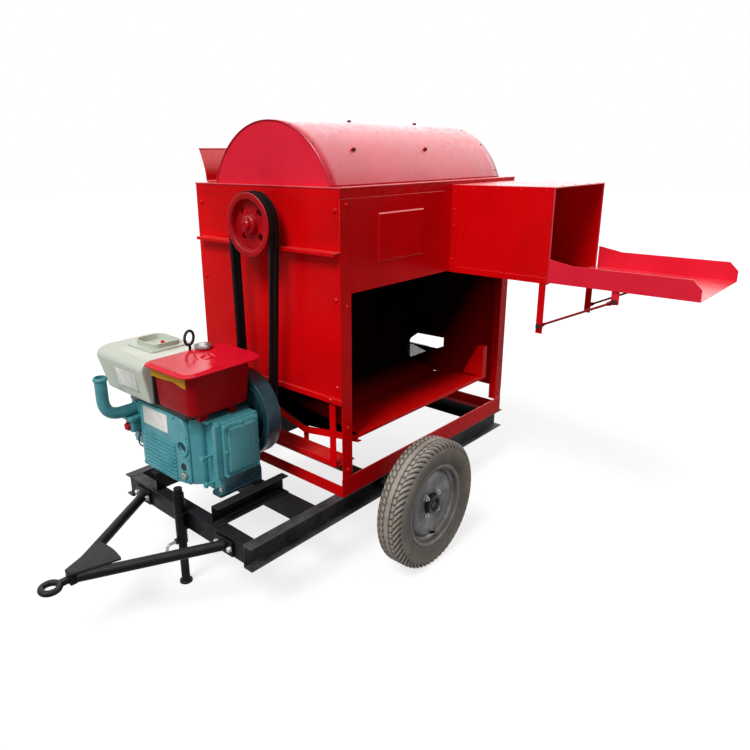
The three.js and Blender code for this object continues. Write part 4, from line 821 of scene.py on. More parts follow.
def at_wheel(shape, name, side):
    """A form of the near wheel carried to either wheel, turned half round for the far one."""
    axle = middle_of("axle")
    shape = turned(shape, "Z", 180) if side > 0 else shape
    return moved(shape, (axle[0], middle_of(f"{name}_tyre")[1], axle[2]))


def wheels():
    """Both wheels are one design, with their faces outside."""
    valve = combine(rod((-8, -30, -139), (-9, -48, -127), 5.5, 16),
                    rod((-9, -48, -127), (-9.4, -55, -122.4), 3.6, 16))
    rubber, dust_and_shade = tyre()
    forms = (("rim_steel", rim(), "silver", "rim"), ("hub_casting", hub(), "iron", "hub"),
             ("wheel_nuts", wheel_nuts(), "steel", None), ("wheel_valve", valve, "belt", None))
    for name, side in (("near", -1), ("far", 1)):
        piece(f"{name}_tyre_rubber", at_wheel(rubber, name, side), "tyre", f"{name}_tyre",
              dust_and_shade=dust_and_shade)
        for form_name, shape, kind, node in forms:
            piece(f"{name}_{form_name}", at_wheel(shape, name, side), kind,
                  node and f"{name}_{node}", f"{name}_wheel")


# Threshing body

PANELS = ("base_frame", "near_front_post", "far_front_post", "near_rear_post", "far_rear_post",
          "top_rim", "front_panel", "rear_panel", "far_panel", "near_panel", "feed_box",
          "feed_tray", "near_tray_strut", "far_tray_strut", "grain_pan", "pan_hanger")
COVER_RADIUS = 370          # the round cover, its middle line (y, z) and the lip over the outlet
COVER_CENTRE = (-37, 1487)
OUTLET_TOP = 1745
HINGE_AXIS = (-931, 1206)   # y and z, as for the two ends of a brace
BRACE_ENDS = ((-911, 1015), (-1214, 1162))
LUG_PLACES = ((233, 137), (716, 137), (521, 88), (1011, 88))


def on_cover(radius, degrees, x):
    """A place on the round cover, by its turn from the far side over the top."""
    return (x, *(polar(radius, np.radians(degrees)) + COVER_CENTRE))


def drum_cover():
    """A sheet rolled to a circle over the drum, open over the straw outlet, with flat ends."""
    low, high = reach("drum_cover")
    base = low[2]
    outlet = reach("straw_deflector")[0][0], reach("straw_deflector")[1][0]
    foot = np.arcsin((base - COVER_CENTRE[1]) / COVER_RADIUS)
    lip = np.arcsin((OUTLET_TOP - COVER_CENTRE[1]) / COVER_RADIUS)
    turn = np.concatenate([np.linspace(foot, lip, 25), np.linspace(lip, np.pi - foot, 100)[1:]])
    x = np.concatenate([[low[0]], np.linspace(*outlet, 7), np.linspace(outlet[1], high[0], 19)[1:]])
    dent = 1.1 * np.sin(x[:, None] / 170) * np.sin(3 * turn) ** 2
    radius = COVER_RADIUS - 0.8 - np.abs(dent)
    points, faces = grid(placed(polar(radius, turn) + COVER_CENTRE, x[:, None], "x"))
    row, column = np.divmod(np.arange(len(faces[0])), len(turn) - 1)
    open_part = (column < 24) & (x[row] >= outlet[0]) & (x[row] < outlet[1])
    skin("drum_cover_sheet", (points, [faces[0][~open_part]]), "cover_red", 3, (600, *COVER_CENTRE),
         "drum_cover")
    arc = polar(COVER_RADIUS - 3.4, np.linspace(foot, np.pi - foot, 90)) + COVER_CENTRE
    ends = [prism(arc, span) for span in ((low[0] + 4, low[0] + 7), (high[0] - 7, high[0] - 4))]
    edge = COVER_CENTRE[0] + np.sqrt(COVER_RADIUS ** 2 - (base - COVER_CENTRE[1]) ** 2)
    deck = slab((outlet[1], high[0]), (edge - 6, high[1]), (base, base + 3), 2, 0.8)
    strip = slab((outlet[0] - 20, outlet[1] + 20), (-10, 10), (-1, 3.5), 2, 0.8)
    seam = moved(turned(strip, "X", np.degrees(lip) - 90),
                 on_cover(COVER_RADIUS - 1, np.degrees(lip + 0.02), 0))
    piece("drum_cover_ends", combine(*ends, deck, seam), "tray_red", edge=0.8)
    for name, x_place in (("front", low[0] + 16), ("rear", high[0] - 16)):
        heads = [rivets([on_cover(COVER_RADIUS - 1, degrees, x_place)],
                        (0, *polar(1, np.radians(degrees))), 4) for degrees in (110, 132, 156)]
        piece(f"{name}_cover_rivets", combine(*heads), "iron")


def cover_lugs():
    """Four tabs that stand up from the round cover, each with a bolt through it."""
    tab = prism(eased([(-12, -5), (12, -5), (8, 11), (-8, 11)], 3), (-2.5, 2.5), "y")
    tabs, heads = [], []
    for x, degrees in LUG_PLACES:
        ahead = np.array([0, *polar(1, np.radians(degrees + 90))])
        tabs.append(moved(turned(tab, "X", degrees - 90), on_cover(COVER_RADIUS, degrees, x)))
        heads.append(bolts([on_cover(COVER_RADIUS + 4, degrees, x) + 3 * ahead], ahead, 10, 7))
    piece("cover_lugs", combine(*tabs), "red", edge=0.8)
    piece("cover_lug_bolts", combine(*heads), "iron")


def straw_deflector():
    """A sheet that rises from the rim and leans out in a quarter wave, its top edge rolled."""
    low, high = reach("straw_deflector")
    rim_edge = reach("top_rim")[1][1]
    share = np.linspace(0, 1, 24)
    lean = rim_edge + (high[1] - rim_edge) * (1 - np.cos(share * np.pi / 2))
    outer = np.stack([lean - 0.4, low[2] + (high[2] - low[2]) * share], -1)
    path = np.vstack([[(low[1] + 1, low[2] + 1.3), (lean[0] - 6, low[2] + 1.3)], outer[1:]])
    outline = ribbon(resample(eased(path, 3, closed=False, steps=3), 40), 2.4)
    roll = rod((low[0], high[1] - 3, high[2] - 3), (high[0], high[1] - 3, high[2] - 3), 3, 16)
    piece("straw_deflector_sheet", combine(prism(outline, (low[0], high[0])), roll), "red",
          "straw_deflector")


def feed_details():
    """The hinge pin, rivets on the feed box, and the bolts at both ends of the braces."""
    low, high = reach("feed_box")
    front, top = low[0], high[2]
    along = [(x, y, top) for x in np.linspace(front + 16, high[0] - 14, 5) for y in (-905, -480)]
    side = [(front, -465, z) for z in np.linspace(low[2] + 60, top - 30, 5)]
    edge = [(front + 2.7, y, top - 14) for y in np.linspace(-900, -560, 4)]
    piece("feed_box_rivets", combine(rivets(along, (0, 0, 1), 4.2), rivets(side, (-1, 0, 0), 4.5),
                                     rivets(edge, (-1, 0, 0), 4)), "red")
    piece("tray_hinge_pin", rod((front + 35, *HINGE_AXIS), (high[0] - 35, *HINGE_AXIS), 3, 16),
          "steel")
    for name, place, across, height, body in (("strut_pivot", BRACE_ENDS[0], 15, 9, "chassis"),
                                              ("tray_bracket", BRACE_ENDS[1], 13, 8, "tray")):
        heads = [bolts([(x, *place)], (out, 0, 0), across, height)
                 for x, out in ((front - 7, -1), (high[0] + 10, 1))]
        piece(name + "_bolts", combine(*heads), "iron", body=body)


def hems():
    """Folded sheet edges, coloured pale pink as a painted highlight along the folds: round the
    mouth of the feed box, along its front corners, and along the near and the front side of the
    body's rim."""
    low, high = reach("feed_box")
    left, right, top, mouth = low[0] + 13, high[0], high[2] - 1.5, -928.5
    bottom = 1197.5
    (rim_x, rim_y, _), (rim_end, rim_far, rim_top) = reach("top_rim")
    corner = (rim_x, rim_y, rim_top - 1)
    corners = [(left, mouth, bottom), (right, mouth, bottom), (right, mouth, top),
               (left, mouth, top)]
    lines = [(start, end, 3.4) for start, end in zip(corners, corners[1:] + corners[:1])]
    lines += [((left, mouth, z), (left, -452, z), 3) for z in (top, bottom)]
    lines += [(corner, (rim_end, rim_y, rim_top - 1), 3),
              (corner, (rim_x, rim_far, rim_top - 1), 3.2)]
    piece("folded_edges", combine(*[rod(*line, 12) for line in lines]), "hem_highlight_red")


def braces():
    """Round braces, pressed flat to an eye at each end."""
    share = np.array([0, 0.06, 0.1, 0.9, 0.94, 1])[:, None]
    thick, wide = (2.6, 2.6, 5, 5, 2.6, 2.6), (9, 9, 5, 5, 9, 9)
    section = circle(1, 24) * np.stack([thick, wide], -1)[:, None]
    for name, x in (("near_tray_brace", 731.7), ("far_tray_brace", 1245.3)):
        start, end = [np.array([x, *place]) for place in BRACE_ENDS]
        eyes = [slab(about(y, 12), about(z, 12), about(x, 3), 11.9, 1, "x") for y, z in BRACE_ENDS]
        piece(name + "_rod", combine(sweep(start + (end - start) * share, section), *eyes),
              "tank_red", name)


def body_bolts():
    """Bolts through the corner posts and the pan hanger."""
    front = [(0, y, z) for y in (-425, 410) for z in (1520, 1180, 820)]
    hanger = [(-6, y, 760) for y in (-390, 390)]
    near = [(x, -448, z) for x in (34, 1266) for z in (450, 640, 1150, 1540)]
    rear = [(1300, y, z) for y in (-420, 420) for z in (520, 900, 1300)]
    piece("body_bolts", combine(bolts(front, (-1, 0, 0), 13, 6), bolts(hanger, (-1, 0, 0), 13, 6),
                                bolts(near, (0, -1, 0), 13, 6), bolts(rear, (1, 0, 0), 13, 6)),
          "red")


TAIL_SHEET = (1287, 1290)   # x of the boards' two faces
WIRE_PITCH = 5.5
WIRE_RADIUS = 1.5


def tail_board():
    """Boards inside the tail opening that leave a slanted slot, and wire mesh over one corner."""
    lower = [(240, 600), (157, 613), (-20, 615), (-62, 634), (-110, 634), (-110, 480), (190, 480),
             (186, 514), (58, 582), (150, 606)]
    upper = [(240, 730), (-110, 730), (-110, 692), (-60, 687), (121, 683), (165, 650), (187, 622),
             (240, 622)]
    sheets = [prism(outline, TAIL_SHEET) for outline in (lower, upper)]
    piece("tail_board_sheet", combine(*sheets), "red")
    wires = [rod((1291.5, y, 508), (1291.5, y, 618), WIRE_RADIUS, 6)
             for y in np.arange(48, 200, WIRE_PITCH)]
    wires += [rod((1293, 40, z), (1293, 200, z), WIRE_RADIUS, 6)
              for z in np.arange(512, 612, WIRE_PITCH)]
    piece("tail_mesh", combine(*wires), "iron")


def pan_lip():
    """The folded front edge of the grain pan: it follows the trough's own line and turns under."""
    line = np.array([(-440, 581), (-110, 529), (440, 688)])
    face = np.vstack([line, line[::-1] - (0, 30)])
    under = np.vstack([line - (0, 30), line[::-1] - (0, 33)])
    piece("pan_front_lip", combine(prism(face, (106, 109)), prism(under, (106, 130))), "pan_red")


# Drum inside the body

DRUM_AXIS = (-38, 1452)
BAR_CIRCLE = 218            # from the shaft to the middle of a bar
TEETH = 14                  # on each bar


def drum():
    """Discs on the shaft carry six bars of tapered pegs, set a half pitch on from bar to bar."""
    low, high = reach("threshing_drum")
    centre = (0, *DRUM_AXIS)
    y, z = DRUM_AXIS
    shapes = []
    for start in np.linspace(low[0], high[0] - 8, 4):
        profile = eased([(21, start), (231, start), (231, start + 8), (21, start + 8)], 1.5)
        shapes.append(lathe(profile, "x", centre, 72, closed=True))
    thick = np.array([8, 6.5, 4])[:, None, None]
    for index in range(6):
        bar = slab(about(y, 23), about(z + BAR_CIRCLE, 15), (low[0], high[0]), 5, 2, "x")
        first = low[0] + 40 + 20 * (index % 2)
        pegs = [sweep([(x, y, z + height) for height in (228, 292, 303)], circle(1, 12) * thick,
                      up=(1, 0, 0)) for x in np.linspace(first, high[0] - 60, TEETH)]
        shapes.append(turned(combine(bar, *pegs), "X", 60 * index, centre))
    piece("drum_cage", combine(*shapes), "cast", "threshing_drum")


def shaft():
    """The drum shaft with the nut and washer that hold the pulley."""
    low, high = reach("drum_shaft")
    centre = (0, *DRUM_AXIS)
    profile = [(17, low[0]), (20, low[0] + 3), (20, high[0] - 3), (17, high[0])]
    nut = stack([circle(15, 6), circle(15, 6), circle(13, 6)], [-121, -112, -110], "x")
    washer = lathe([(24, -111), (24, -108.3)], "x", centre, 40)
    bar = lathe(profile, "x", centre, 48)
    piece("drum_shaft_bar", combine(bar, moved(nut, centre), washer), "pulley_red", "drum_shaft")


def concave():
    """Curved ribs under the drum carry rods along its length."""
    low, high = reach("concave_screen")
    turn = np.radians(np.linspace(-155, -25, 40))
    arc = np.vstack([polar(340, turn), polar(322, turn[::-1])])
    ribs = [moved(prism(arc, (x, x + 9)), (0, *DRUM_AXIS))
            for x in np.linspace(low[0], high[0] - 9, 5)]
    rods = [rod((low[0], *place), (high[0], *place), 4.5, 12)
            for place in polar(327, np.radians(np.linspace(-152, -28, 21))) + DRUM_AXIS]
    piece("concave_grate", combine(*ribs, *rods), "cast", "concave_screen")


def bearings():
    """Square flange bearings with a turned boss, four bolts and a grease nipple."""
    y, z = DRUM_AXIS
    for name, side in (("front", -1), ("rear", 1)):
        low, high = reach(f"{name}_drum_bearing")
        face = high[0] if side < 0 else low[0]
        flange = slab(about(y, 58), about(z, 58), sorted((face, face + side * 12)), 16, 2, "x")
        end = face + side * 33
        profile = [(21, face), (46, face), (42, face + side * 30), (38, end), (21, end)]
        boss = lathe(eased(profile, 2), "x", (0, y, z), 56, closed=True)
        nipple = rod((face + side * 20, y, z + 40), (face + side * 20, y, z + 52), 3, 12)
        piece(f"{name}_bearing_housing", combine(flange, boss, nipple), "iron",
              f"{name}_drum_bearing")
        places = [(face + side * 12, a, b) for a in about(y, 43) for b in about(z, 43)]
        piece(f"{name}_bearing_bolts", bolts(places, (side, 0, 0), 15, 9), "steel")


# Pulleys and belts

PULLEY_X = -77
CRANK_AXIS = (-20, 660)
GROOVES = (-13, 13)         # the middles of the grooves, from the pulley's own
BELT_PROUD = 4
DRUM_PULLEY = 129
ENGINE_PULLEY = 94
PULLEY_WIDTH = 62
PULLEY_RIM = 25
PULLEY_HUB = 38


def web_plate(inner, outer, hole, half):
    """A round web with four holes: between each hole's edge and its sector's edge the surface is a
    straight blend, made for the front and the back and closed by the two walls."""
    t = np.linspace(0, 1, 96, endpoint=False)
    corner = np.interp(t, [0, 0.35, 0.5, 0.85, 1], [0, 1, 1, 0, 0])
    radius = np.interp(t, [0, 0.35, 0.5, 0.85, 1], [outer, outer, inner, inner, outer])
    shapes = []
    for index in range(4):
        border = polar(radius, (index + corner) * FULL_TURN / 4)
        centre = polar((inner + outer) / 2, (index + 0.5) * FULL_TURN / 4)
        aside = border - centre
        edge = centre + aside * hole / np.linalg.norm(aside, axis=1)[:, None]
        lines = np.array([border, edge, edge, border])
        along = np.array([-half, -half, half, half])[:, None]
        shapes.append(grid(placed(lines, along, "x"), round_u=True, round_v=True))
    return combine(*shapes)


def pulley(radius, bore):
    """Rim with two V grooves, a web with four holes, and a hub; all edges turned over."""
    back, hub = PULLEY_WIDTH / 2, PULLEY_HUB
    root = radius - 12
    edge = radius - PULLEY_RIM
    corners = [(edge, -back), (radius, -back)]
    for middle in GROOVES:
        corners += [(radius, middle - 11.3), (root, middle - 6.8), (root, middle + 6.8),
                    (radius, middle + 11.3)]
    corners += [(radius, back), (edge, back), (edge - 2.5, back - 8), (edge - 4, 0),
                (edge - 2.5, 8 - back)]
    rim_form = lathe(eased(corners, 2.2, steps=4), "x", steps=128, closed=True)
    hub_form = lathe(eased([(bore, -back), (hub - 4, -back), (hub, 4 - back), (hub + 3, -4),
                            (hub + 3, 4), (hub, back - 4), (hub - 4, back), (bore, back)], 2.5),
                     "x", steps=96, closed=True)
    web = web_plate(hub - 1, edge - 2, min(17, (edge - hub) / 3), 6)
    return combine(rim_form, hub_form, web)


def pulleys():
    """The red pulley on the drum with its key, and the engine's pulley on the flywheel's boss."""
    drum_place, engine_place = (PULLEY_X, *DRUM_AXIS), (PULLEY_X, *CRANK_AXIS)
    piece("drum_pulley_casting", moved(pulley(DRUM_PULLEY, 20.3), drum_place), "pulley_red",
          "drum_pulley")
    key = slab(about(0, 4), (17, 26), (-34, -26), 0.8, 0.5, "x")
    piece("pulley_key", moved(key, drum_place), "steel", body="drum")
    boss = rod(engine_place, (-117.2, *CRANK_AXIS), 24)
    piece("engine_pulley_casting", combine(moved(pulley(ENGINE_PULLEY, 20), engine_place), boss),
          "teal", "engine_pulley")


def belts():
    """Each belt is a wedge section carried round both pulleys, straight between the arcs."""
    span = np.array(CRANK_AXIS) - np.array(DRUM_AXIS)
    heading = np.arctan2(span[1], span[0])
    big, small = DRUM_PULLEY + BELT_PROUD, ENGINE_PULLEY + BELT_PROUD
    lean = np.arccos((big - small) / np.linalg.norm(span))
    line = np.vstack([
        polar(big, np.linspace(heading + lean, heading + FULL_TURN - lean, 80)) + DRUM_AXIS,
        polar(small, np.linspace(heading - lean, heading + lean, 80)) + CRANK_AXIS])
    line = resample(np.vstack([line, line[:1]]), 301)[:-1]
    section = eased([(-11, 0), (11, 0), (7, -14), (-7, -14)], 2, steps=4)
    for name, offset in (("front_belt", GROOVES[0]), ("rear_belt", GROOVES[1])):
        path = np.column_stack([np.full(len(line), PULLEY_X + offset), line])
        run = np.roll(path, -1, 0) - np.roll(path, 1, 0)
        run /= np.linalg.norm(run, axis=1)[:, None]
        out = np.cross(run, (1, 0, 0))
        if np.mean(np.sum(out * (path - path.mean(0)), axis=1)) < 0:
            out = -out
        points = path[:, None] + section[:, :1] * (1, 0, 0) + section[:, 1:] * out[:, None]
        piece(name + "_loop", grid(points, round_u=True, round_v=True), "belt", name)


def flywheel():
    """A heavy rim with a dished web on both sides, its corners turned over."""
    low, high = reach("flywheel")
    front, back = -192, high[0]
    corners = [(22, -220), (22, front), (60, front), (64, front + 16), (150, front + 20),
               (156, front + 2), (160, front), (188, front), (191, front + 3), (191, back - 3),
               (188, back), (160, back), (156, back - 3), (150, back - 19), (64, back - 16),
               (60, back), (22, back)]
    form = lathe(eased(corners, 3, steps=4), "x", (0, *CRANK_AXIS), 128, closed=True)
    stub = rod((low[0], *CRANK_AXIS), (back + 0.5, *CRANK_AXIS), 21.9)
    # The flywheel takes the darker teal: painted shade.
    piece("flywheel_casting", combine(form, stub), "teal_shaded", "flywheel")


# Engine

CRANKCASE_TOP = 715
SEAT_BOTTOM = 715.3         # where the tanks stand on the crankcase
EYE_CENTRE = (-296, 153)
EYE_RADIUS = 30
GEAR_FACE = -465
START_CENTRE = (4, 585)     # y and z of the start shaft, and of the oil filler
START_RADIUS = 27
FILLER_CENTRE = (0, 465)
EXHAUST_MOUTH = (-596, 382)  # x and y
EXHAUST_START = (-425.3, 657)  # x and z
HOPPER_BOTTOM = 742
TANK_BOTTOM = 748
PUMP_Y = 352
LID_CORNERS = (56, 34, 44, 66)
LID_STAR = (-300, 30)       # x and y where the pressed arms meet
CAP_GRIPS = 32


def crankcase():
    """The cast block. Its near edge and the nose beside the gear cover stop short of the bottom;
    a ledge runs under the door over one long foot, and the lifting eye stands at the back."""
    low, high = reach("crankcase")
    bottom, top = low[2], CRANKCASE_TOP
    foot_top = bottom + 16
    core = [(-400, -170), (-210, -170), (-210, 325), (-384.7, 325), (-384.7, -35.3), (-400, -35.3)]
    nose = [(-396, -35.3), (-455, -35.3), (-418, -70), (-396, -70)]
    shapes = [prism(eased(core, [3, 10, 10, 2, 2, 3]), (bottom, top), "z"),
              prism(eased(nose, [2, 3, 14, 2]), (430, top), "z"),
              slab((-428, -390), (-170, -150), (481, top), 5, 3),
              slab((-425, -300), (-120, -60), (top - 9, top + 7), 12, 4),
              slab((-222, -214), (-176, -166), (490, top - 7), 3, 2)]
    piece("crankcase_casting", combine(*shapes), "teal", "crankcase", edge=2.5)
    ledge = [(-180, foot_top), (-180, 462), (-173, 483), (-166, 484), (-166, foot_top)]
    foot = slab((-430, -210), (-182, -122), (bottom, foot_top), 10, 3)
    # The ledge and foot under the door take the darker teal: painted shade.
    piece("crankcase_foot", combine(prism(ledge, (-402, -212)), foot), "teal_shaded", edge=3)
    place = (-404, -154, foot_top)
    stud = rod(place, np.add(place, (0, 0, 22)), 5.5, 16)
    piece("foot_bolt", combine(bolts([place], (0, 0, 1), 19, 13), stud), "steel")
    middle = high[2] - EYE_RADIUS - 6
    eye = lathe(circle(6, 14) + (EYE_RADIUS, 0), "y", (*EYE_CENTRE, middle), 56, closed=True)
    stem = rod((*EYE_CENTRE, 690), (*EYE_CENTRE, middle - EYE_RADIUS), 6, 16)
    piece("lifting_eye", combine(turned(eye, "Z", 18, (*EYE_CENTRE, 0)), stem), "iron")


def gear_cover():
    """The front casting: sloped corner, cooling ribs and the recess of the start shaft. Its front
    is a skin of rings from the recess, a circle seen along the outline's own angles, outwards."""
    low, high = reach("gear_cover")
    corners = [(low[1], low[2] + 20), (low[1] + 120, low[2]), (high[1], low[2]),
               (high[1], high[2]), (low[1] + 45, high[2]), (low[1], high[2] - 45)]
    outline = eased(corners, [12, 20, 6, 6, 26, 26], steps=6)
    outline = resample(np.vstack([outline, outline[:1]]), 241)[:-1]
    start = np.array(START_CENTRE)
    aside = outline - start
    around = np.arctan2(aside[:, 1], aside[:, 0])
    recess, floor = [polar(radius, around) + start for radius in (START_RADIUS, START_RADIUS - 3)]
    inset = outline + ((low + high)[1:] / 2 - outline) * 0.018
    rows = [(outline * 0 + start, 12), (floor, 12), (recess, 2),
            (recess + (recess - start) * 0.08, 0), (inset, 0), (outline, 4),
            (outline, high[0] - GEAR_FACE),
            (outline * 0 + start, high[0] - GEAR_FACE)]
    body = grid(np.array([placed(line, GEAR_FACE + x, "x") for line, x in rows]), round_v=True)
    ribs = [slab((start[0] + 54, 302), (z, z + 6), (GEAR_FACE - 7, GEAR_FACE + 2), 2.8, 2, "x")
            for z in np.arange(9) * 18 + 428]
    piece("gear_cover_casting", combine(body, *ribs), "teal", "gear_cover", merged=True)
    edge = [(low[1] + 12, 640), (low[1] + 12, 540), (low[1] + 12, 446), (312, 425), (313, 560),
            (312, 705), (60, 703)]
    piece("gear_cover_bolts", bolts([(GEAR_FACE, *place) for place in edge], (-1, 0, 0), 11, 6),
          "teal")
    plate = slab((107, 292), (619, 700), (GEAR_FACE - 1.4, GEAR_FACE + 0.5), 4, 0.5, "x")
    piece("gear_cover_plate", plate, "plate")


def gear_cover_fittings():
    """The start shaft in its ring, the knurled oil filler cap and the mouth of the dipstick."""
    y, z = START_CENTRE
    base, top = GEAR_FACE + 1, GEAR_FACE - 7
    collar = [(START_RADIUS, base), (39, base), (36, top), (START_RADIUS + 1, top)]
    piece("start_shaft_ring", lathe(eased(collar, 2), "x", (0, y, z), 56, closed=True), "teal")
    shaft_end = rod((GEAR_FACE + 12, y, z), (GEAR_FACE - 1, y, z), 10)
    pin = rod((GEAR_FACE + 3, y - 13, z), (GEAR_FACE + 3, y + 13, z), 3.5, 12)
    piece("start_shaft", combine(shaft_end, pin), "iron")
    y, z = FILLER_CENTRE
    turn = even_turns(48)
    knurl = polar(15 + 0.9 * np.cos(turn * 12), turn)
    cap = stack([knurl * 0.9, knurl, knurl, knurl * 0.86], [-14, -12, -4, 0], "x")
    wing = slab(about(0, 12), about(0, 2.5), (-14, -11), 2, 1, "x")
    piece("oil_filler_cap", moved(combine(cap, wing), (GEAR_FACE, y, z)), "steel")
    neck = lathe([(18, GEAR_FACE - 3), (18, GEAR_FACE + 2)], "x", (0, y, z), 40)
    piece("oil_filler_neck", neck, "teal")
    mouth = np.array([(0.5, -1), (11, -1), (11, -4), (15, -4), (16, 1), (0.5, 1)]) + (0, GEAR_FACE)
    piece("dipstick_mouth", lathe(eased(mouth, 1), "x", (0, y + 10, z + 34), 40), "iron")


def side_cover():
    """The crankcase door: a flange, a raised face with soft corners, and bolts all round."""
    low, high = reach("crankcase_side_cover")
    xs, ys, zs = zip(low, high)
    face = ys[0] + 5
    flange = slab(xs, zs, (face, ys[1]), 10, 2, "y")
    raised = slab(shrunk(xs, 17), shrunk(zs, 17), (ys[0] - 3, face + 3), 14, 6, "y")
    piece("side_cover_casting", combine(flange, raised), "teal", "crankcase_side_cover")
    places = [(x, face, z) for x in shrunk(xs, 8) for z in np.linspace(*shrunk(zs, 9), 3)]
    places += [((xs[0] + xs[1]) / 2, face, z) for z in shrunk(zs, 9)]
    piece("side_cover_bolts", bolts(places, (0, -1, 0), 12, 7), "teal")


def cylinder_head():
    """Head and valve cover, with the nuts that hold the head."""
    xs, ys, zs = zip(*reach("cylinder_head"))
    face = ys[1] - 34
    head = slab(xs, (ys[0], face), zs, 12, 4)
    cover = slab(shrunk(xs, 26), (ys[1] - 40, ys[1]), shrunk(zs, 26), 18, 8)
    piece("cylinder_head_casting", combine(head, cover), "teal", "cylinder_head")
    places = [(x, face, z) for x in shrunk(xs, 14) for z in shrunk(zs, 18)]
    piece("head_nuts", bolts(places, (0, 1, 0), 17, 12), "steel")


def exhaust():
    """A hollow cast elbow on its flange, turned up in one bend, with a collar at the mouth."""
    top = reach("exhaust_elbow")[1][2]
    x, y = EXHAUST_MOUTH
    start, z = EXHAUST_START
    path = resample(eased([(start, y, z), (x, y, z), (x, y, top)], 112, closed=False, steps=24), 60)
    outer, inner = [sweep(path, circle(radius, 44), up=(0, 1, 0))[0].reshape(60, 44, 3)
                    for radius in (26, 22)]
    pipe = grid(np.concatenate([outer, inner[::-1]]), round_u=True, round_v=True)
    flange = slab(about(y, 36), (z - 36, z + 34.5), (start - 10, start), 14, 2, "x")
    collar = np.array([(24, -19), (28, -18), (31, -13), (31, -7), (27, -3), (26, 0), (22.5, 0)])
    collar = lathe(eased(collar + (0, top), 2), "z", (x, y, 0), 56, closed=True)
    neck = lathe(eased([(24, -455), (34, -452), (36, -440), (36, -433), (24, -433)], 3), "x",
                 (0, y, z), 48, closed=True)
    piece("exhaust_pipe", combine(pipe, flange, collar, neck), "teal", "exhaust_elbow")
    places = [(start - 10, y + a, z + b) for a, b in ((-27, 25), (27, 25), (-27, -27), (27, -27))]
    piece("exhaust_nuts", bolts(places, (-1, 0, 0), 13, 9), "steel")


def soft_stack(levels, corner):
    """Rings of one rounded rectangle after another, joined by a smooth skin."""
    return stack([ring(xs, ys, corner) for xs, ys, _ in levels], [level[-1] for level in levels])


def water_hopper():
    """A pressed tank: its sides lean in towards a rounded bottom and roll over into the top along
    a quarter circle, all but the near side, which stands against the fuel tank."""
    low, high = reach("water_hopper")
    shoulder, lean = 42, 26
    turn = np.linspace(0, np.pi / 2, 12)
    insets = [lean + 14, *(lean + 14 * (1 - np.sin(turn[4:]))), *(shoulder * (1 - np.cos(turn)))]
    heights = [HOPPER_BOTTOM, *(HOPPER_BOTTOM + 14 * (1 - np.cos(turn[4:]))),
               *(high[2] - shoulder * (1 - np.sin(turn)))]
    levels = [((low[0] + inset, high[0] - inset), (low[1] + min(0.12 * inset, 3), high[1] - inset),
               height) for inset, height in zip(insets, heights)]
    neck = soft_stack([((-437, -271), (187, 314), SEAT_BOTTOM), ((-432, -276), (190, 310), 735),
                       ((-437, -271), (187, 314), 760)], 30)
    piece("water_hopper_shell", combine(soft_stack(levels, [52, 52, 9, 9]), neck), "pale_green",
          "water_hopper")
    wall = high[2] - shoulder - HOPPER_BOTTOM
    plate = turned(slab((226, 380), about(826, 40), about(0, 0.8), 4, 0.4, "x"), "Y",
                   -np.degrees(np.arctan2(lean, wall)), (0, 0, 826))
    face = low[0] + lean * (high[2] - shoulder - 826) / wall
    piece("hopper_plate", moved(plate, (face - 0.6, 0, 0)), "plate")


def hopper_funnel():
    """The filler: a flange plate with four screws and a hollow collar with a rolled lip, walked
    round as one closed section from the inside over the lip and out over the plate."""
    low, high = reach("hopper_funnel")
    middle, base = (low + high) / 2, low[2]
    xs, ys = (low[0], high[0]), (low[1], high[1])
    walls = [(about(middle[0], 66.5 + grow), about(middle[1], 80.5 + grow), height, corner)
             for grow, height, corner in
             ((-2, -8, 32), (-2, 24, 32), (-1, 26, 32), (1.5, 26, 33), (3, 24.5, 34), (2, 22, 33),
              (1.5, 6, 33), (4, 5.9, 34))]
    walls += [(shrunk(xs, 1.5), shrunk(ys, 1.5), 5.9, 16), (xs, ys, 4.5, 17), (xs, ys, 0.5, 17)]
    outlines = np.array([ring(wall_xs, wall_ys, corner) for wall_xs, wall_ys, _, corner in walls])
    heights = np.array([height for _, _, height, _ in walls])[:, None] + base
    shape = grid(placed(outlines, heights, "z"), round_u=True, round_v=True)
    piece("hopper_funnel_collar", shape, "pale_green", "hopper_funnel")
    screws = [(x, y, base + 5.9) for x in shrunk(xs, 14) for y in shrunk(ys, 14)]
    piece("funnel_screws", rivets(screws, (0, 0, 1), 5), "steel")
    strainer = slab(about(middle[0], 66), about(middle[1], 80), (base - 10, base - 5), 32, 1)
    piece("hopper_strainer", strainer, "plate")
    x, y = middle[0] + 5, middle[1] - 30
    ball = [(9 * np.sin(t) + 0.2, base + 14 - 9 * np.cos(t)) for t in np.linspace(0.1, 3.0, 12)]
    piece("water_float", combine(rod((x, y, base - 5), (x, y, base + 14), 3),
                                 lathe(ball, "z", (x, y, 0), 24)), "lid_red")


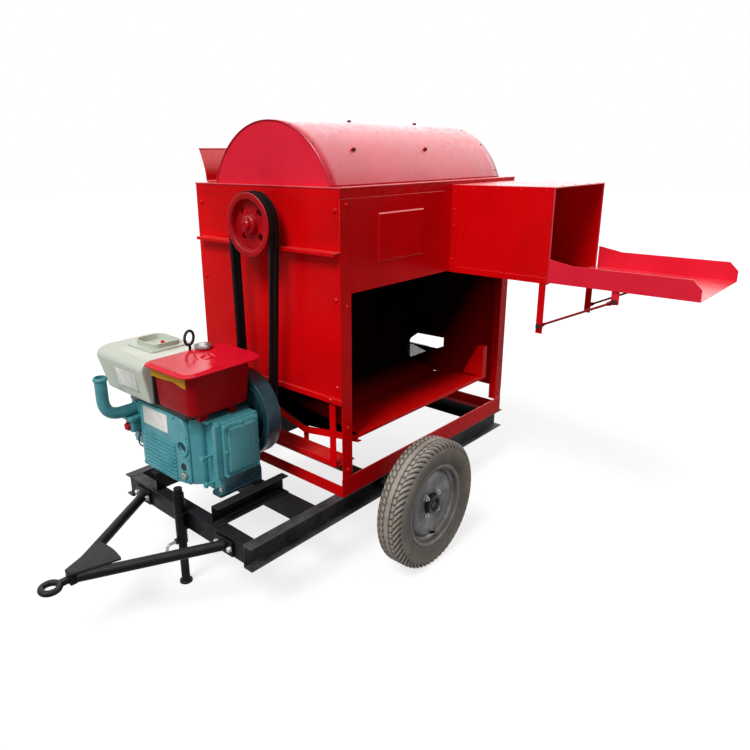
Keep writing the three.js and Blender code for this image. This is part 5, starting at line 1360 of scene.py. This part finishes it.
def fuel_tank():
    """A pressed tank on two saddles; its bottom is rolled over along a quarter circle."""
    low, high = reach("fuel_tank")
    xs, ys = (low[0], high[0]), (low[1], high[1])
    roll = 18
    turn = np.linspace(np.pi / 2, 0, 10)
    levels = [(shrunk(xs, 7 + inset), shrunk(ys, 7 + inset), TANK_BOTTOM + roll * (1 - rise))
              for inset, rise in zip(roll * (1 - np.cos(turn)), np.sin(turn))]
    levels.append((xs, ys, high[2]))
    saddles = [slab(about(x, 20), (-95, 106), (SEAT_BOTTOM, 764), 4, 2) for x in shrunk(xs, 80)]
    piece("fuel_tank_shell", combine(soft_stack(levels, 44), *saddles), "tank_red", "fuel_tank")
    edge = np.array([(140, 918), (-101, 918), (-101, 872), (-80, 872), (-20, 884), (60, 878),
                     (140, 876)])
    lean = low[0] + 7 * (high[2] - edge[:, 1]) / (high[2] - TANK_BOTTOM - roll)
    stripe = grid(placed(edge, lean + np.array([[-0.7], [0.8]]), "x"), round_v=True, capped=True)
    piece("tank_stripe", stripe, "stripe")


def tank_lid():
    """The pressed lid: height is a fold at the edge, a low dome and a raised star of four arms,
    written over rings that shrink towards the middle; a rolled hem runs round the edge."""
    low, high = reach("fuel_tank_lid")
    xs, ys, base = (low[0], high[0]), (low[1], high[1]), low[2]
    middle = (low + high)[:2] / 2
    edge = ring(xs, ys, LID_CORNERS, 24) - middle
    share = np.concatenate([[1, 1, 0.996, 0.985, 0.975, 0.965, 0.955, 0.945],
                            np.linspace(0.93, 0.02, 40)])
    points = middle + edge * share[:, None, None]
    inwards = (1 - share)[:, None]
    rise = np.clip(inwards / 0.09, 0, 1)
    dome = 7.4 + 7 * rise ** 2 * (3 - 2 * rise)
    x, y = np.moveaxis(points - LID_STAR, -1, 0)
    arms = np.zeros_like(x)
    for degrees, length in ((200, 150), (250, 110), (150, 120), (330, 150)):
        cosine, sine = polar(1, np.radians(degrees))
        along, aside = x * cosine + y * sine, y * cosine - x * sine
        width = 5 + 0.09 * np.clip(along, 0, None)
        arms = np.maximum(arms, np.exp(-(aside / width) ** 4) * (along > 0)
                          / (1 + np.exp((along - length) / 3)))
    inside = np.clip((inwards - 0.1) / 0.05, 0, 1)
    height = base + np.minimum(dome + 4.5 * arms * inside, 20)
    height[:3] = base + np.array([0, 4, 6.8])[:, None]
    shell = grid(placed(points, height, "z"), round_v=True, capped=True)
    hem = ring(shrunk(xs, 1.5), shrunk(ys, 1.5), np.array(LID_CORNERS) - 1, 16)
    roll = sweep(placed(hem, base + 4, "z"), circle(4, 12), closed=True)
    neck = lathe([(20, base), (20, base + 22)], "z", (-255, 112, 0), 40)
    piece("fuel_tank_lid_pressing", combine(shell, roll, neck), "lid_red", "fuel_tank_lid")


def fuel_cap():
    """A plated cap: grips round its skirt and a shallow dome."""
    x, y, _ = middle_of("fuel_cap")
    base = reach("fuel_cap")[0][2]
    turn = even_turns(96)
    grip = 0.4 * np.cos(turn * CAP_GRIPS)
    profile = [(36, 0), (38, 1.5), (38, 9), (37.4, 12), (34, 14.5), (30, 15.4), (27, 17.2),
               (15, 19.4), (1, 20)]
    rows = [placed(polar(radius + grip * (height < 10), turn), base + height, "z")
            for radius, height in profile]
    shell = grid(np.array(rows), round_v=True, capped=True)
    piece("fuel_cap_shell", moved(shell, (x, y, 0)), "steel", "fuel_cap")


def engine_fittings():
    """The tank's seat and strap, tie bolts, dipstick, and the governor housing with its knob."""
    strap = slab((-486, -230), (148, 158), (744, 926), 3, 2)
    seat = slab((-470, -215), (-60, 330), (722, HOPPER_BOTTOM), 22, 3)
    piece("tank_seat", combine(strap, seat), "iron")
    ties = [((-444, -100, 563), (-400, -100, 563)), ((-436, -100, 443), (-400, -100, 443))]
    shanks = [rod(start, end, 6.5, 20) for start, end in ties]
    piece("tie_bolts", combine(*shanks, bolts([start for start, _ in ties], (-1, 0, 0), 21, 10)),
          "teal")
    piece("dipstick", rod((-452, 300, 716), (-452, 300, 800), 2.6, 12), "cast")
    casting = combine(slab((-506, -440), (336, 424), (616, 634), 12, 3),
                      slab((-496, -440), (344, 404), (560, 618), 12, 5))
    piece("governor_housing", casting, "teal")
    turn = even_turns(60)
    petal = polar(17 + 2.6 * np.cos(5 * turn), turn)
    knob = stack([petal * 0.7, petal, petal, petal * 0.6], [0, 3, 12, 16])
    piece("drain_knob", aimed(knob, (-496, 374, 586), (-1, 0, 0)), "lid_red")


def fuel_line():
    """The pump's barrel, inlet, flange and top nut, and its two pipes with rounded bends."""
    pump = combine(rod((-420, PUMP_Y, 600), (-420, PUMP_Y, 520), 17),
                   rod((-462, PUMP_Y, 556), (-420, PUMP_Y, 556), 13),
                   slab((-440, -400), (326, 372), (505, 532), 5, 2),
                   rod((-420, PUMP_Y, 612), (-420, PUMP_Y, 600), 8))
    piece("fuel_pump", pump, "iron")
    feed = [(-420, PUMP_Y, 612), (-420, PUMP_Y, 650), (-440, 360, 700), (-440, 340, 722),
            (-400, 320, 728)]
    drain = [(-447, PUMP_Y, 540), (-462, 356, 536), (-470, 350, 500), (-452, 340, 480),
             (-425, 334, 486)]
    pipes = [sweep(resample(eased(line, bend, closed=False, steps=8), 40), circle(radius, 12),
                   up=(lean, 1, 0))
             for line, bend, radius, lean in ((feed, 16, 2.6, 0.3), (drain, 14, 3, 0.2))]
    piece("fuel_pipes", combine(*pipes), "belt")


# Making it all

for bar in BARS:
    dressed(bar, "worn_black" if bar == "near_side_rail" else "black", 2.2)
for panel in PANELS:
    dressed(panel, {"feed_tray": "tray_red", "grain_pan": "pan_red"}.get(panel, "red"), 1.3)
for make in (drawbar, hitch, prop, axle_bar, wheels, drum_cover, cover_lugs, straw_deflector,
             feed_details, hems, braces, body_bolts, tail_board, pan_lip, drum, shaft, concave,
             bearings, pulleys, belts, flywheel, crankcase, gear_cover, gear_cover_fittings,
             side_cover, cylinder_head, exhaust, water_hopper, hopper_funnel, fuel_tank, tank_lid,
             fuel_cap, engine_fittings, fuel_line):
    make()

# Floor, backdrop, lamps and camera

CAMERA_PLACE = (-1776.7, -2109.6, 1723.1)
CAMERA_HEADING = 42.776
CAMERA_DIP = 17.091
CAMERA_ROLL = -0.579
CAMERA_LENS = 31.02
CAMERA_SHIFT = (0.0405, -0.0303)
FLOOR_HALF = 30000
FLOOR_GLOW = 0.76
SKY_LIGHT = 0.32


def backdrop():
    """A pale floor that keeps the shadow; seen straight or in a reflection it is nearly white."""
    tree = Tree("pale_floor")
    tree.set(tree.shader.inputs["Base Color"], rgb("#909090"))
    tree.set(tree.shader.inputs["Roughness"], 0.9)
    tree.set(tree.shader.inputs["Emission Color"], rgb("#ffffff"))
    glow = tree.math("MULTIPLY", tree.seen(), FLOOR_GLOW)
    tree.set(tree.shader.inputs["Emission Strength"], glow)
    span = np.linspace(*about(0, FLOOR_HALF), 9) * MM
    x, y = np.meshgrid(span, span, indexing="ij")
    points, faces = grid(np.stack([x, y, 0 * x], -1))
    mesh = bpy.data.meshes.new("floor")
    mesh.from_pydata(points.tolist(), [], faces[0].tolist())
    mesh.materials.append(tree.material)
    floor = bpy.data.objects.new("floor", mesh)
    bpy.context.scene.collection.objects.link(floor)


def world():
    """Even light from all round; white where it is seen or mirrored."""
    made = bpy.data.worlds.new("studio")
    made.use_nodes = True
    tree = Nodes(made.node_tree)
    sky = made.node_tree.nodes["Background"].inputs
    tree.set(sky["Color"], (1, 1, 1, 1))
    tree.set(sky["Strength"], tree.ramp(tree.seen(), 0, 1, SKY_LIGHT, 1))
    bpy.context.scene.world = made


def lamp(name, heading, height, strength, softness, gloss_only=False):
    """A sun from a heading and a height in degrees, its shadows softened by its apparent size."""
    data = bpy.data.lights.new(name, "SUN")
    data.energy = strength
    data.angle = np.radians(softness)
    obj = bpy.data.objects.new(name, data)
    turn, lift = np.radians(heading), np.radians(height)
    towards = Vector((np.cos(turn) * np.cos(lift), np.sin(turn) * np.cos(lift), np.sin(lift)))
    obj.rotation_euler = towards.to_track_quat("Z", "Y").to_euler()
    obj.visible_diffuse = not gloss_only
    bpy.context.scene.collection.objects.link(obj)


def camera():
    """The photograph's own viewpoint, from its place, heading, dip and roll."""
    turn, dip, roll = np.radians((CAMERA_HEADING, CAMERA_DIP, CAMERA_ROLL))
    ahead = Vector((np.cos(dip) * np.cos(turn), np.cos(dip) * np.sin(turn), -np.sin(dip)))
    level = ahead.cross(Vector((0, 0, 1))).normalized()
    above = level.cross(ahead)
    right = np.cos(roll) * level + np.sin(roll) * above
    up = -np.sin(roll) * level + np.cos(roll) * above
    data = bpy.data.cameras.new("camera")
    data.lens = CAMERA_LENS
    data.sensor_width = 36
    data.shift_x, data.shift_y = CAMERA_SHIFT
    obj = bpy.data.objects.new("camera", data)
    matrix = Matrix((right, up, -ahead)).transposed().to_4x4()
    matrix.translation = Vector(ORIGIN + np.array(CAMERA_PLACE) * MM)
    obj.matrix_world = matrix
    bpy.context.scene.collection.objects.link(obj)
    bpy.context.scene.camera = obj


backdrop()
world()
lamp("key_lamp", heading=188, height=53, strength=2.5, softness=25)
lamp("sky_gleam", heading=3, height=38, strength=3.8, softness=100, gloss_only=True)
camera()
bpy.context.scene.view_settings.view_transform = "Standard"
